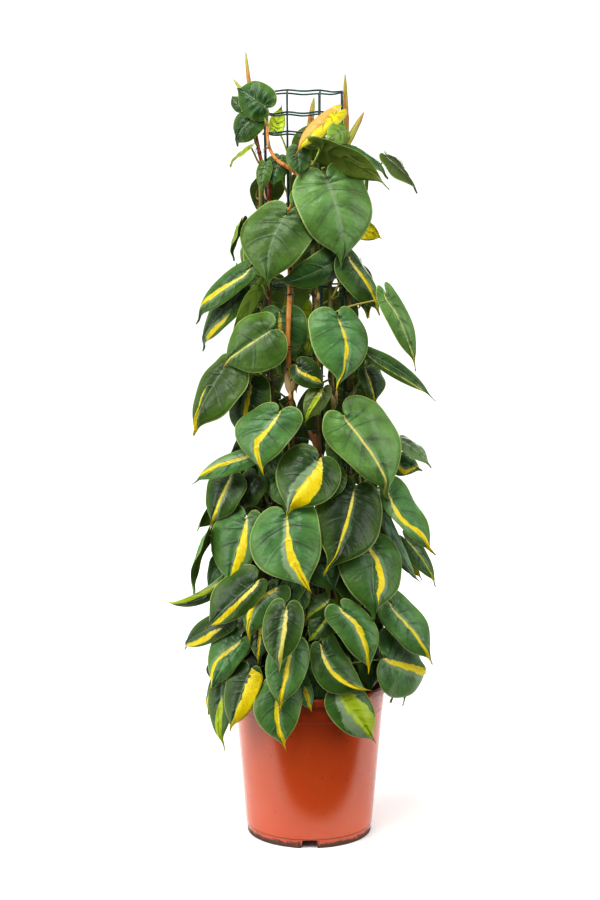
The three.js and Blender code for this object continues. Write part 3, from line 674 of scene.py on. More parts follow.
VIEW = View()
SOIL_LEVEL = 205.0
COLUMN_LEAN = -0.0105
COLUMN_RADIUS = 61.3
WIRE_RADIUS = 1.35
WIRE_AZIMUTHS = tuple((i + 0.5) * 45 for i in range(8))
RING_HEIGHTS = (*(280 + 111 * i for i in range(8)), 1085, 1116)
STEM_CIRCLE = 68.0
STEM_RADIUS = 4.2
STEM_FOOT = 150.0
STALK_RADIUS = 1.7
NODE_GAP = 24.0
BOW_REACH = 70.0
BACK_LEAVES = 36
# Side veins on each half of a blade
SIDE_VEINS = 6
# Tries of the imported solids: shifts of a leaf along its face in millimetres, and swings of a
# stalk in spans; then the shifts of a further leaf
SHIFTS = (0, 2, -2, 4, -4, 6, -6, 9, -9, 12, -12, 15, -15, 18)
SWINGS = (0, 0.25, -0.25, 0.5, -0.5)
FURTHER_SHIFTS = (0, 6, -6, 12, -12, 20, -20)


def column_x(z: Points | float) -> Points | float:
    """The column leans a little: its axis moves with the height above the soil."""
    return COLUMN_LEAN * (z - SOIL_LEVEL)


def around_column(azimuth: Points | float, radius: Points | float, z: Points | float) -> Points:
    """Points beside the column, by degrees from the front, distance from its axis and height."""
    angle = np.radians(azimuth)
    return np.stack(
        np.broadcast_arrays(column_x(z) + radius * np.sin(angle), -radius * np.cos(angle), z), -1
    ).astype(float)


def outward_at(point: Points) -> Points:
    """Level direction from the column's axis to a point."""
    return unit(np.array([point[0] - column_x(point[2]), point[1], 0.0]))


@dataclass(frozen=True)
class Vine:
    """One stem: where it climbs, where its climb ends, and how its free end goes on.

    Attributes:
        name: the node that it stands for.
        azimuth: degrees round the column from the front.
        top: height where the climb ends.
        bulge: height and depth of a bow away from the column.
        tail: pixel across, pixel down and distance from the axis of the free end's points.
        radius: radius of the fine stem.
        fresh: colour of its young part.
        young: heights between which it turns young.
    """

    name: str
    azimuth: float
    top: float
    bulge: tuple[float, float] = (0.0, 0.0)
    tail: tuple[PathRow, ...] = ()
    radius: float = 3.1
    fresh: str = "6d7330"
    young: tuple[float, float] = (720.0, 960.0)

    def bow(self, z: Points | float) -> Points | float:
        """How far the climb bows out at a height: a bell curve."""
        return self.bulge[1] * np.exp(-(((z - self.bulge[0]) / BOW_REACH) ** 2))

    def climb(self, z: Points) -> Points:
        """Points of the climb at given heights: a slow wander round, and a bow."""
        wander = 1.5 * np.sin(z / 95 + self.azimuth)
        return around_column(self.azimuth + wander, STEM_CIRCLE + self.bow(z), z)

    def corners(self) -> Points:
        """Corners of the plain solid's climb."""
        return self.climb(np.linspace(STEM_FOOT, self.top, round((self.top - STEM_FOOT) / 70) + 1))

    def tail_curve(self) -> Points:
        """Fine points of the free end, or none."""
        if not self.tail:
            return np.empty((0, 3))
        start = self.climb(np.array([self.top - 8.0]))
        rest = np.array([VIEW.point(*row) for row in self.tail])
        return catmull_rom(np.concatenate([start, rest]), 200)

    def nodes(self) -> Points:
        """Points where a stalk can leave the stem."""
        count = int((self.top - SOIL_LEVEL - NODE_GAP / 2) // NODE_GAP)
        points = self.climb(SOIL_LEVEL + NODE_GAP * (0.5 + np.arange(count)))
        curve = self.tail_curve()
        if not len(curve):
            return points
        length = np.linalg.norm(np.diff(curve, axis=0), axis=1).sum()
        return np.concatenate([points, spaced(curve, round(length / 16))[1:]])


VINES = (
    Vine("vine_1", -48, 985, tail=((261, 160, 84), (257, 140, 86), (253, 118, 80), (251, 98, 78)),
         fresh="8f4a2c"),
    Vine(
        "vine_2", -18.7, 950, (752, 19),
        ((297, 193, 71), (304, 182, 78), (291, 169, 86), (277, 160, 88), (269, 146, 88), (267, 114, 86)),
        radius=3.7, fresh="b9772a", young=(606.667, 790),
    ),
    Vine("vine_3", 15, 975, tail=((309, 182, 70), (306, 171, 72))),
    Vine("vine_4", 33, 975, tail=((336, 166, 74), (342, 152, 84))),
    Vine("vine_5", 69, 1066),
    Vine("vine_6", 109, 930),
    Vine("vine_7", 168, 1062),
    Vine("vine_8", -161, 1020),
    Vine("vine_9", -109, 985),
)
TIES = (("vine_2", 824), ("vine_3", 822), ("vine_5", 824), ("vine_5", 680), ("vine_3", 706))


@dataclass(frozen=True)
class Spear:
    """A rolled young leaf.

    Attributes:
        vine: the stem.
        root: pixel of its root.
        tip: pixel of its tip.
        reach: distances of root and tip from the column's axis.
        width: width in pixels.
    """

    vine: str
    root: Pixel
    tip: Pixel
    reach: tuple[float, float]
    width: float


SPEARS = (
    Spear("vine_1", (251, 99), (245.5, 51), (78, 80), 4),
    Spear("vine_1", (251, 101), (233, 79), (78, 84), 4),
    Spear("vine_2", (267, 116), (266, 104), (86, 88), 5),
    Spear("vine_3", (307, 174), (300, 160), (72, 70), 5),
    Spear("vine_4", (341, 154), (364, 112), (83, 98), 7),
    Spear("vine_5", (346.5, 133), (345, 73), (68, 70), 5),
    Spear("vine_7", (309, 136), (314, 97), (-68, -74), 6),
)


@dataclass(frozen=True)
class Growth:
    """A papery sheath or an aerial root that the picture shows on a stem.

    Attributes:
        vine: the stem.
        start: pixel down of its foot on the stem.
        end: pixel of its far end.
        width: width in pixels.
        colour: hex colour.
        flat: how thin it is across, 1 for a round root.
    """

    vine: str
    start: float
    end: Pixel
    width: float
    colour: str
    flat: float = 1.0


GROWTHS = (
    Growth("vine_2", 392, (287, 368), 9, "a98f63", 0.3),
    Growth("vine_2", 392, (298, 371), 8, "8f7a4a", 0.3),
    Growth("vine_2", 343, (281, 325), 1.6, "a33a1c"),
    Growth("vine_2", 343, (277, 338), 1.4, "8f2f18"),
    Growth("vine_2", 346, (303, 344), 1.4, "5b2a18"),
    Growth("vine_2", 348, (299, 351), 1.3, "5b2a18"),
    Growth("vine_4", 410, (331, 394), 7, "9a8a52", 0.3),
    Growth("vine_4", 408, (337, 397), 5, "7f6f3c", 0.3),
    Growth("vine_3", 452, (309, 431), 8, "86582c", 0.3),
    Growth("vine_3", 452, (315, 434), 6, "6f4a26", 0.3),
    Growth("vine_3", 285, (308, 299), 1.4, "5b2a18"),
    Growth("vine_4", 262, (337, 280), 1.5, "5b2a18"),
    Growth("vine_1", 392, (263, 401), 1.5, "6b3018"),
    Growth("vine_1", 396, (268, 408), 1.3, "6b3018"),
)


@dataclass(frozen=True)
class Leaf:
    """One leaf that the picture shows.

    Attributes:
        name: short name of the row.
        base: pixel of the stalk's end.
        tip: pixel of the tip.
        across: width in pixels as it shows.
        reach: distances of base and tip from the column's axis.
        turn: degrees about the midrib.
        bow: arch of the midrib in lengths.
        sway: sideways curve of the midrib in lengths.
        skew: how far one half is wider than the other.
        width: true width, where the one that shows is no guide.
        tone: ground colour.
        hue: colour of the streak.
        streak: pixel across, pixel down and width in pixels along it.
        zone: share of grey-green, by default half beside a streak and a little on a plain leaf.
        shade: how bright the ground colour is, partly its own tone and partly painted light and shade.
        quilt: how deeply the sheet bulges between its veins.
        ahead: how far the leaf stands nearer to the eye than its plain solid, in millimetres.
        narrow: its width as a share of its plain solid's.
        lean: side of the streak that has most of the grey-green: 1 for the picture's left, -1 for
            its right, and 0 where the leaf's own draw decides.
    """

    name: str
    base: Pixel
    tip: Pixel
    across: float
    reach: tuple[float, float]
    turn: float = 0.0
    bow: float = 0.07
    sway: float = 0.0
    skew: float = 0.0
    width: float = 0.0
    tone: Tone = Tone.DEEP
    hue: Hue = Hue.YELLOW
    streak: tuple[PathRow, ...] = ()
    zone: float | None = None
    shade: float = 1.0
    quilt: float = 1.0
    ahead: float = 0.0
    narrow: float = 1.0
    lean: int = 0

    def grey(self) -> float:
        """Share of grey-green that the blade is painted with."""
        return (0.5 if self.streak else 0.15) if self.zone is None else self.zone


# Leaves, top of the column first
# Each row's shade is partly the leaf's own tone and partly painted light and shade
FRONT_LEAVES = (
    Leaf("a1", (266, 107), (238, 87), 36, (92, 106), bow=0.16, quilt=2.6, tone=Tone.DARK, shade=1.8),
    Leaf("a2", (254, 118), (236, 144), 32, (94, 108), bow=0.2, quilt=2.4, tone=Tone.DARK, shade=1.55),
    Leaf("a3", (241, 108), (231, 96), 11, (104, 112), quilt=2.0, shade=0.55),
    Leaf("a5", (275, 131), (282, 106), 15, (-86, -92), tone=Tone.LIME, shade=1.6),
    Leaf("a6", (252, 147), (231, 165), 10, (100, 120), turn=60, tone=Tone.LIME, shade=0.7),
    Leaf("a9", (317, 134), (289, 154), 27, (26, 30), tone=Tone.OLIVE, shade=0.9),
    Leaf("a10", (298.5, 150), (300, 178), 24, (74, 84), tone=Tone.DARK, shade=1.35),
    Leaf("a11", (279, 158), (272, 186), 21, (84, 92), tone=Tone.DARK, shade=2.15),
    Leaf("a12", (270, 166), (266, 193), 15, (76, 82), tone=Tone.MID, shade=0.75),
    Leaf("b1", (337, 113), (294, 152), 18, (82, 98), turn=20, bow=0.05, tone=Tone.YELLOW, hue=Hue.PEACH,
         zone=0, streak=((330, 110, 9), (316, 124, 9), (303, 138, 7), (294, 151, 3))),
    Leaf("b2", (349, 127), (331, 138), 17, (84, 88), ahead=26, tone=Tone.YOUNG, shade=0.9, zone=0.5),
    Leaf("b6", (318, 147), (388, 184), 25, (106, 165), turn=-115, width=70, narrow=0.8, ahead=-14,
         tone=Tone.OLIVE, shade=1.1),
    Leaf("b7", (344, 151), (386, 177), 12, (96, 140), turn=-40, hue=Hue.PALE,
         streak=((350, 156, 2), (372, 170, 3), (386, 177, 3))),
    Leaf("b8", (387, 157), (416, 191), 13, (130, 170), turn=-30, tone=Tone.OLIVE, shade=0.5),
    Leaf("b9", (352, 226), (383, 237), 24, (-92, -120), narrow=0.7, tone=Tone.YELLOW, shade=2.4, zone=0),
    Leaf("c1", (327.5, 177), (348, 262), 73, (98, 118), sway=-0.03, quilt=1.4, tone=Tone.MID, shade=1.5,
         zone=1),
    Leaf("c2", (287, 214), (268, 285), 67, (92, 118), sway=0.09, quilt=1.3, tone=Tone.MID, shade=0.75,
         zone=0.25),
    Leaf("c3", (341, 257), (277, 284), 24, (82, 92), turn=-25, bow=0.16, narrow=1.35, tone=Tone.DARK,
         shade=1.8),
    Leaf("c4", (246, 271), (194, 318), 20, (118, 168),
         streak=((243, 275, 3), (222, 290, 4), (200, 306, 3))),
    Leaf("c5", (242, 222), (231, 258), 9, (112, 122), turn=70, tone=Tone.OLIVE, shade=2.4),
    Leaf("c6", (240, 291), (199, 347), 22, (110, 150), shade=0.7,
         streak=((226, 320, 3), (218, 328, 5), (210, 336, 4))),
    Leaf("c7", (260, 280), (227, 350), 13, (96, 128), turn=105, tone=Tone.YOUNG, shade=2.55),
    Leaf("c8", (271, 330), (222, 364), 56, (104, 142), skew=-0.12, tone=Tone.MID, hue=Hue.CREAM,
         shade=0.75, streak=((268, 332, 0.8), (250, 345, 1.6), (240, 352, 1.4), (226, 361, 3))),
    Leaf("c9", (281, 314), (284, 370), 50, (71, 69.5), bow=0.03, shade=1.7, zone=0.2,
         streak=((280, 315, 3), (280, 330, 3))),
    Leaf("c10", (226, 366), (192, 430), 41, (135, 185), skew=-0.28, tone=Tone.MID, shade=0.45,
         streak=((206, 392, 1.2), (200, 408, 1.5), (194, 424, 3))),
    Leaf("c11", (338, 317), (342.6, 385), 56, (98, 120), sway=-0.07, skew=0.15, shade=1.8,
         streak=((340, 322, 2), (346, 346, 3.5), (344, 366, 3), (342.6, 383, 2))),
    Leaf("c12", (350, 258), (381, 312), 27, (96, 124), skew=0.4, shade=0.8,
         streak=((352, 262, 3), (366, 284, 4), (378, 306, 3))),
    Leaf("c13", (387, 295), (417, 367), 22, (150, 185), tone=Tone.MID, hue=Hue.CREAM, shade=1.3,
         streak=((386, 297, 0.8), (396, 315, 1), (408, 345, 0.8), (416, 362, 3))),
    Leaf("c14", (370, 354), (434, 397), 16, (112, 195), hue=Hue.CREAM, shade=0.85,
         streak=((376, 362, 0.5), (404, 380, 0.8), (420, 389, 1.6), (431, 396, 2.5))),
    Leaf("c15", (366, 371), (375, 403), 42, (96, 110), skew=-0.3, shade=0.5,
         streak=((367, 374, 2.5), (371, 388, 2.5), (375, 402, 2))),
    Leaf("c17", (298, 366), (324, 388), 28, (84, 90), shade=0.45,
         streak=((299, 371, 3), (310, 377, 4), (319, 381, 3))),
    Leaf("c18", (323, 388), (304, 421), 22, (82, 98), tone=Tone.OLIVE, hue=Hue.LIME, shade=0.6, zone=0,
         streak=((321, 392, 4), (312, 406, 5), (305, 419, 3))),
    Leaf("c25", (312, 226), (290, 262), 24, (78, 84), tone=Tone.MID, shade=1.3),
    Leaf("c26", (303, 190), (292, 210), 18, (76, 80), tone=Tone.MID, shade=0.6),
    Leaf("c27", (346, 262), (340, 292), 14, (-86, -92), tone=Tone.LIME),
    Leaf("c29", (312, 308), (306, 357), 20, (-80, -92), tone=Tone.LIME, shade=1.35),
    Leaf("d1", (278, 413), (262, 471.5), 60, (106, 140), sway=0.16, shade=1.5,
         streak=((278, 415, 2), (270, 428, 5), (257, 445, 6), (262, 470, 4))),
    Leaf("d2", (345, 417), (391.5, 494), 63, (102, 146), sway=-0.05, skew=-0.13, tone=Tone.MID,
         hue=Hue.CREAM, shade=1.5, zone=0.3,
         streak=((347, 420, 2), (362, 442, 3), (380, 470, 2.5), (390, 491, 2))),
    Leaf("d3", (317.5, 460), (285, 511), 52, (98, 130), narrow=1.2, shade=0.6, zone=0.9, lean=1,
         streak=((320, 466, 7), (314, 483, 15), (302, 499, 15), (290, 509, 6))),
    Leaf("d4", (354, 491), (331, 571), 66, (104, 138), sway=-0.03, tone=Tone.DARK, shade=0.65, zone=0.3,
         streak=((354, 494, 2), (347, 520, 3.5), (338, 548, 2), (332, 569, 2))),
    Leaf("d5", (252, 456), (192, 481), 19, (122, 182), shade=1.8, zone=0.9,
         streak=((246, 457, 3), (222, 465, 4), (200, 475, 3))),
    Leaf("d6", (286, 515), (309, 589), 72, (118, 152), sway=0.08, skew=0.08, shade=1.65, zone=0.9, lean=1,
         streak=((287, 518, 2), (288, 535, 4), (291, 555, 9), (299, 572, 9), (308, 587, 5))),
    Leaf("d7", (246, 519), (228, 588), 49, (122, 152), skew=0.2, shade=1.3, zone=0.4,
         streak=((246, 523, 4), (244, 545, 9), (238, 566, 8), (229, 586, 4))),
    Leaf("d8", (230, 477), (211, 524), 37, (128, 156), shade=0.5, zone=0.8,
         streak=((229, 480, 3), (222, 498, 4), (213, 520, 3))),
    Leaf("d9", (250, 384), (248, 444), 42, (98, 112), shade=0.5,
         streak=((250, 388, 4), (248, 402, 5), (246, 416, 4))),
    Leaf("d12", (256, 478), (240, 510), 26, (102, 114), tone=Tone.DARK, shade=0.45),
    Leaf("d13", (230, 500), (196, 529), 14, (-130, -165), shade=1.7),
    Leaf("d14", (209, 533), (192, 590), 8, (160, 185), turn=70, shade=2.2,
         streak=((205, 545, 2), (196, 578, 2))),
    Leaf("d15", (226, 558), (207, 588), 22, (140, 162), tone=Tone.DARK, shade=2.2),
    Leaf("d16", (226, 580), (162, 604), 12, (150, 225), turn=-40, sway=-0.1, tone=Tone.DARK, hue=Hue.LIME,
         shade=0.95, streak=((214, 587, 4), (190, 598, 4), (166, 604, 3))),
    Leaf("d17", (402, 440), (429, 466), 15, (130, 185), tone=Tone.GREY, shade=0.8),
    Leaf("d18", (394, 461), (421, 470), 30, (120, 150), shade=1.35,
         streak=((396, 464, 3), (405, 472, 5), (418, 467, 3))),
    Leaf("d19", (389, 491), (434, 551), 31, (130, 198), sway=0.1, skew=-0.35, shade=1.8, zone=0.4,
         streak=((389, 493, 2), (394, 510, 4), (402, 522, 5), (420, 535, 5), (433, 549, 4))),
    Leaf("d20", (380, 506), (421, 588), 11, (118, 172), turn=60, tone=Tone.GREY, shade=2.2),
    Leaf("d21", (406, 540), (437, 584), 17, (150, 195), tone=Tone.DARK, hue=Hue.LIME, shade=1.8,
         streak=((412, 546, 2), (424, 564, 3), (436, 582, 3))),
    Leaf("d22", (398, 554), (422, 578), 15, (126, 165), tone=Tone.GREY,
         streak=((402, 560, 4), (420, 576, 4))),
    Leaf("d23", (370, 544), (373, 616), 62, (120, 156), shade=1.05, lean=-1,
         streak=((370, 547, 4), (376, 560, 5), (380, 585, 6), (377, 597, 4))),
    Leaf("d24", (312, 550), (336, 592), 40, (100, 114), tone=Tone.DARK, shade=2.2),
    Leaf("d25", (392, 462), (372, 482), 20, (96, 100), tone=Tone.DARK),
    Leaf("e1", (257, 583), (209, 629), 39, (136, 178), skew=0.2, shade=0.45, zone=0.3,
         streak=((256, 584, 3), (230, 612, 5), (210, 628, 4))),
    Leaf("e2", (275, 589), (246, 639), 31, (132, 160), sway=0.1, skew=-0.2, shade=0.95,
         streak=((274, 590, 4), (255, 603, 5), (247, 636, 4))),
    Leaf("e3", (300, 574), (276, 617), 24, (112, 126), tone=Tone.DARK, shade=2.2),
    Leaf("e4", (228, 620), (181, 647), 18, (150, 195), shade=0.45, zone=0.2,
         streak=((216, 632, 5), (200, 642, 5), (184, 647, 3))),
    Leaf("e5", (238, 641), (210, 688), 34, (148, 176), skew=0.35, shade=1.7,
         streak=((238, 643, 3), (216, 664, 4), (210, 686, 4))),
    Leaf("e6", (224, 674), (220, 747), 25, (146, 166), hue=Hue.LIME, shade=0.6, zone=0.3,
         streak=((222, 705, 5), (219, 725, 9), (219, 744, 5))),
    Leaf("e7", (249, 673), (231, 730), 33, (140, 162), skew=0.1, shade=0.45, zone=0.1, lean=1,
         streak=((256, 676, 15), (251, 695, 17), (242, 714, 12), (232, 728, 6))),
    Leaf("e8", (286.5, 609), (277, 669), 40, (138, 164), hue=Hue.CREAM, shade=0.45, zone=0.6,
         streak=((286, 612, 3), (284, 635, 5), (278, 667, 4))),
    Leaf("e9", (291, 645), (278, 709), 41, (132, 160), shade=1.5,
         streak=((291, 648, 3), (286, 676, 5), (279, 707, 4))),
    Leaf("e10", (282, 684), (284, 748), 47, (130, 150), sway=0.09, shade=1.2, zone=0.4,
         streak=((280, 690, 4), (277, 712, 5), (284, 745, 5))),
    Leaf("e11", (340, 694), (375, 742), 40, (134, 156), tone=Tone.DARK, hue=Hue.LIME, shade=1.8, zone=0.9,
         lean=1, streak=((346, 697, 12), (360, 712, 20), (372, 730, 16), (375, 741, 6))),
    Leaf("e12", (323, 647), (369, 690), 38, (128, 152), sway=0.18, shade=0.8, zone=0.4,
         streak=((322, 650, 3), (330, 670, 5), (340, 680, 5), (368, 690, 4))),
    Leaf("e13", (343, 610), (368, 671), 38, (134, 162), sway=-0.12, skew=0.1, shade=1.35,
         streak=((343, 612, 3), (354, 622, 5), (363, 640, 5), (368, 668, 4))),
    Leaf("e14", (392, 605), (433, 661), 33, (148, 195), shade=1.65,
         streak=((393, 608, 2), (410, 630, 4), (431, 658, 3))),
    Leaf("e15", (385, 658), (428, 672), 49, (142, 178), shade=1.4,
         streak=((387, 660, 4), (405, 667, 8), (426, 673, 9))),
    Leaf("e16", (328, 600), (306, 618), 20, (106, 118), hue=Hue.LIME, shade=0.85,
         streak=((326, 603, 3), (308, 616, 3))),
    Leaf("e17", (330, 614), (308, 642), 26, (110, 124), hue=Hue.LIME, shade=0.7,
         streak=((328, 617, 3), (310, 640, 3))),
    Leaf("e19", (366, 645), (372, 692), 26, (106, 120), tone=Tone.DARK, shade=2.2),
    Leaf("e20", (300, 680), (311, 712), 18, (120, 130), shade=2.15,
         streak=((305, 690, 4), (311, 710, 3))),
    Leaf("e21", (262, 622), (258, 662), 22, (120, 134), shade=0.5, streak=((261, 626, 3), (258, 660, 3))),
    Leaf("e24", (256, 552), (240, 578), 22, (110, 120), tone=Tone.DARK),
)


class Lcg:
    """The small generator that lays out the leaves out of the picture's sight."""

    def __init__(self, seed: int) -> None:
        """Start from a seed."""
        self.state = seed

    def __call__(self, low: float, high: float) -> float:
        """Next number between low and high."""
        self.state = (self.state * 9301 + 49297) % 233280
        return low + (high - low) * self.state / 233280


@dataclass
class Blade:
    """A leaf set in space: its midrib, face and side directions, and its sizes in millimetres."""

    name: str
    base: Points
    along: Points
    face: Points
    side: Points
    length: float
    width: float
    bow: float
    sway: float
    skew: float
    leaf: Leaf | None = None
    shift: float = 0.0
    vine: str = ""
    stalk: Curve | None = None
    plain: bool = False

    def point(self, u: Points, v: Points, lift: Points | float = 0.0, fine: bool = False) -> Points:
        """Points of the blade.

        The midrib arches as 4u(1-u) and sways sideways by the same arch, the halves fold back
        from it, and the edge ripples. The fine blade rounds the fold at the midrib.

        Args:
            u: shares of the length along the midrib from the stalk.
            v: shares of the width across, from -0.5 to 0.5.
            lift: distance out of the face.
            fine: whether the fold at the midrib is rounded.

        Returns:
            Points in millimetres.
        """
        arch = np.where(u > 0, 4 * u * (1 - u), 2 * u)
        across = v * self.width * (1 + np.sign(v) * self.skew)
        phase = self.base[2] * 0.11 + np.where(v > 0, 1.3, 0)
        ripple = 0.035 * self.width * 4 * v * v * np.sin(9 * u + phase)
        fold = np.sqrt(across**2 + 4) - 2 if fine else np.abs(across)
        height = self.bow * self.length * arch - 0.16 * fold + ripple + lift + self.shift
        sideways = across + self.sway * self.length * arch
        return (
            self.base
            + (u * self.length)[..., None] * self.along
            + sideways[..., None] * self.side
            + height[..., None] * self.face
        )

    def flat_place(self, x: float, y: float) -> tuple[float, float]:
        """Find where a pixel's ray meets the blade's flat plane.

        Args:
            x: pixel across.
            y: pixel down.

        Returns:
            Share along the midrib, and millimetres from the midrib.
        """
        ray, eye = VIEW.ray(x, y), np.array(VIEW.eye)
        middle = self.base + self.face * (self.shift + 0.6 * self.bow * self.length)
        facing = ray @ self.face
        reach = ((middle - eye) @ self.face) / (facing if abs(facing) > 0.1 else 0.1)
        offset = eye + ray * reach - self.base
        u = float(offset @ self.along) / self.length
        arch = 4 * u * (1 - u) if u > 0 else 2 * u
        return u, float(offset @ self.side) - self.sway * self.length * arch


def orient(name: str, base: Points, tip: Points, across: float = 0.0, turn: float = 0.0,
           width: float = 0.0, bow: float = 0.08, sway: float = 0.0, skew: float = 0.0,
           leaf: Leaf | None = None) -> Blade:
    """Set a leaf in space.

    The face looks away from the column and up a little, and where the picture shows the leaf also
    to the eye, then it turns about the midrib. A width that shows is corrected for the slant.

    Args:
        name: the leaf's name.
        base: end of the stalk.
        tip: tip of the blade.
        across: width in pixels as it shows, or 0.
        turn: degrees about the midrib.
        width: true width, or 0.
        bow: arch of the midrib.
        sway: sideways curve.
        skew: how far one half is wider.
        leaf: the picture's row, if any.

    Returns:
        The blade.
    """
    along = tip - base
    length = float(np.linalg.norm(along))
    along = along / length
    middle = (base + tip) / 2
    face = outward_at(middle)
    to_eye = unit(np.array(VIEW.eye) - middle)
    face[2] = 0.35
    if across:
        face = face + to_eye * np.sign(face @ to_eye)
    face = unit(face - along * (face @ along))
    angle = math.radians(turn)
    face = face * math.cos(angle) + np.cross(along, face) * math.sin(angle)
    seen = max(abs(float(face @ to_eye)), 0.2)
    size = width or min(across * VIEW.scale(middle) / seen, 0.95 * length)
    side = np.cross(along, face)
    return Blade(name, base, along, face, side, length, size, bow, sway, skew, leaf)


def front_blades() -> list[Blade]:
    """Set the picture's leaves in space."""
    return [
        orient(
            row.name, VIEW.point(*row.base, row.reach[0]), VIEW.point(*row.tip, row.reach[1]),
            row.across, row.turn, row.width, row.bow, row.sway, row.skew, row,
        )
        for row in FRONT_LEAVES
    ]


def back_blades() -> list[Blade]:
    """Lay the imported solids' leaves out on the sides and back, in a spiral that climbs and closes
    in towards the back.

    Returns:
        The blades.
    """
    random = Lcg(65)
    blades = []
    for i in range(BACK_LEAVES):
        share = i / (BACK_LEAVES - 1)
        azimuth = 180 + (78 + (i * 83 + random(0, 28)) % 204 - 180) * (1 - 0.6 * share)
        z = 262 + share * 773
        length = random(82, 122) - 22 * share
        out = 128 - 50 * share + random(-8, 8)
        drift = random(-14, 14)
        base = around_column(azimuth, out, z)
        tip = around_column(azimuth + drift, out + 0.36 * length, z - 0.88 * length)
        blades.append(orient(
            f"back_{i}", base, tip, width=length * random(0.74, 0.86), turn=random(-20, 20),
            bow=0.07 * random(0.6, 1.7), sway=random(-0.05, 0.05),
        ))
    return blades


# Candidates of each kind for further leaves, and how many of the inner ones reach up high
SIDE_TRIES, EXTRA_TRIES, INNER_TRIES, INNER_HIGH = 80, 90, 210, 70
# Base, tip and width in pixels of dark leaves that close gaps in the picture's lower part, and
# the distances from the axis at which each is tried
FILLINGS = (((262, 642), (249, 678), 22), ((302, 590), (298, 616), 18))
FILLING_REACH = (112, 104, 96, 88, 80, 74)
# The back's spiral: height, distance from the axis, and degrees that it spreads to each side
SPIRAL = np.array([
    [250, 120, 105], [330, 128, 105], [500, 128, 104], [650, 112, 92], [800, 96, 76], [900, 84, 64],
    [1000, 74, 50], [1050, 66, 44],
])
# Candidates that would show where the picture is white or has another leaf
LEFT_OUT = frozenset((
    "extra_29", "side_39", "side_24", "extra_55", "side_43", "side_76", "extra_10", "inner_37", "extra_51",
    "side_9", "inner_0", "side_5", "side_53", "extra_81", "side_64", "extra_75", "extra_64", "side_41",
    "inner_68", "extra_16", "side_7",
))
# Height, left edge and right edge of the foliage, 8 mm inside the one that the picture shows
OUTLINE = np.array([
    [218, -159, 163], [265, -165, 180], [312, -163, 171], [358, -200, 149], [405, -174, 181],
    [451, -156, 170], [497, -151, 163], [542, -172, 149], [588, -113, 159], [633, -165, 118],
    [679, -159, 176], [723, -152, 154], [768, -139, 150], [813, -155, 128], [857, -116, 80],
    [901, -96, 92], [945, -84, 84], [989, -64, 100], [1033, -90, 90], [1076, -100, 66], [1119, -96, 40],
])
# Middle, height and width of the gaps between netting and vines
GAPS = ((22, 855, 60), (18, 624, 30))
# Half outline of the plain solids' blades
COARSE_OUTLINE = np.array([[-0.12, 0.16], [0, 0.43], [0.32, 0.5], [0.65, 0.37], [0.89, 0.08]])


def further_blades() -> list[Blade]:
    """Candidates for further leaves: a second spiral on the sides and back, kept within the
    slender outline that the picture shows, and small dark ones close to the stems low down.

    Returns:
        The blades.
    """
    random = np.random.default_rng(29)
    blades = [
        orient(f"filling_{i}", VIEW.point(*base, out), VIEW.point(*tip, out + 8), wide)
        for base, tip, wide in FILLINGS for i, out in enumerate(FILLING_REACH)
    ]
    for i in range(SIDE_TRIES):
        z = random.uniform(560, 1070)
        azimuth = random.choice([-1, 1]) * random.uniform(60, 128)
        out, length = random.uniform(70, 88), random.uniform(54, 86)
        base = around_column(azimuth, out, z)
        tip = around_column(azimuth + random.uniform(-14, 14), out + 0.05 * length, z - 0.95 * length)
        blades.append(orient(
            f"side_{i}", base, tip, turn=random.uniform(-18, 18), width=0.78 * length,
            bow=random.uniform(0.05, 0.1), sway=random.uniform(-0.05, 0.05),
        ))
    for i in range(EXTRA_TRIES):
        z = random.uniform(262, 1035)
        azimuth = 180 + random.uniform(-1, 1) * np.interp(z, SPIRAL[:, 0], SPIRAL[:, 2])
        out = np.interp(z, SPIRAL[:, 0], SPIRAL[:, 1]) * random.uniform(0.72, 1.04)
        length = random.uniform(70, 112) * np.interp(z, [250, 1050], [1, 0.75])
        base = around_column(azimuth, out, z)
        drift = random.uniform(-16, 16)
        tip = around_column(azimuth + drift, out + 0.3 * length, z - 0.9 * length)
        blades.append(orient(
            f"extra_{i}", base, tip, width=length * random.uniform(0.72, 0.86),
            turn=random.uniform(-25, 25), bow=random.uniform(0.04, 0.12), sway=random.uniform(-0.05, 0.05),
        ))
    for i in range(INNER_TRIES):
        low = i >= INNER_HIGH
        z = random.uniform(222, 300) if low else random.uniform(232, 640)
        azimuth = random.uniform(-180, 180) if low else random.uniform(-100, 100)
        out = random.uniform(72, 104)
        length = random.uniform(32, 52) if low else random.uniform(42, 72)
        base = around_column(azimuth, out, z)
        tip = around_column(azimuth + random.uniform(-20, 20), out + 0.12 * length, z - 0.9 * length)
        blades.append(orient(
            f"inner_{i}", base, tip, turn=random.uniform(-30, 30), width=0.76 * length
        ))
    for blade in blades:
        blade.plain = blade.name.startswith(("filling", "inner"))
    return [blade for blade in blades if blade.name not in LEFT_OUT]


def shows_wrongly(blade: Blade) -> bool:
    """Whether a further blade would show where the picture has none.

    Its corners are carried along the rays from the eye to the upright plane through the column.
    They have to stay between the picture's left and right edges, and a blade behind the column
    stays clear of the gaps through which the picture looks.

    Args:
        blade: the blade.

    Returns:
        Whether it is left out.
    """
    u, v = np.array([[-0.12, 0.3, 0.65, 1.0], [0.3, 0.5, 0.36, 0.0]])
    corners = np.concatenate([blade.point(u, s * v) for s in (1, -1)])
    eye = np.array(VIEW.eye)
    seen = eye + (corners - eye) * (eye[1] / (eye[1] - corners[:, 1]))[:, None]
    left, right = (np.interp(seen[:, 2], OUTLINE[:, 0], OUTLINE[:, k]) for k in (1, 2))
    if (seen[:, 0] < left).any() or (seen[:, 0] > right).any():
        return True
    middle = seen.mean(axis=0)
    return bool(corners[:, 1].mean() > 20) and any(
        abs(middle[0] - x) < 0.5 * wide + 30 and abs(middle[2] - z) < 62 for x, z, wide in GAPS
    )


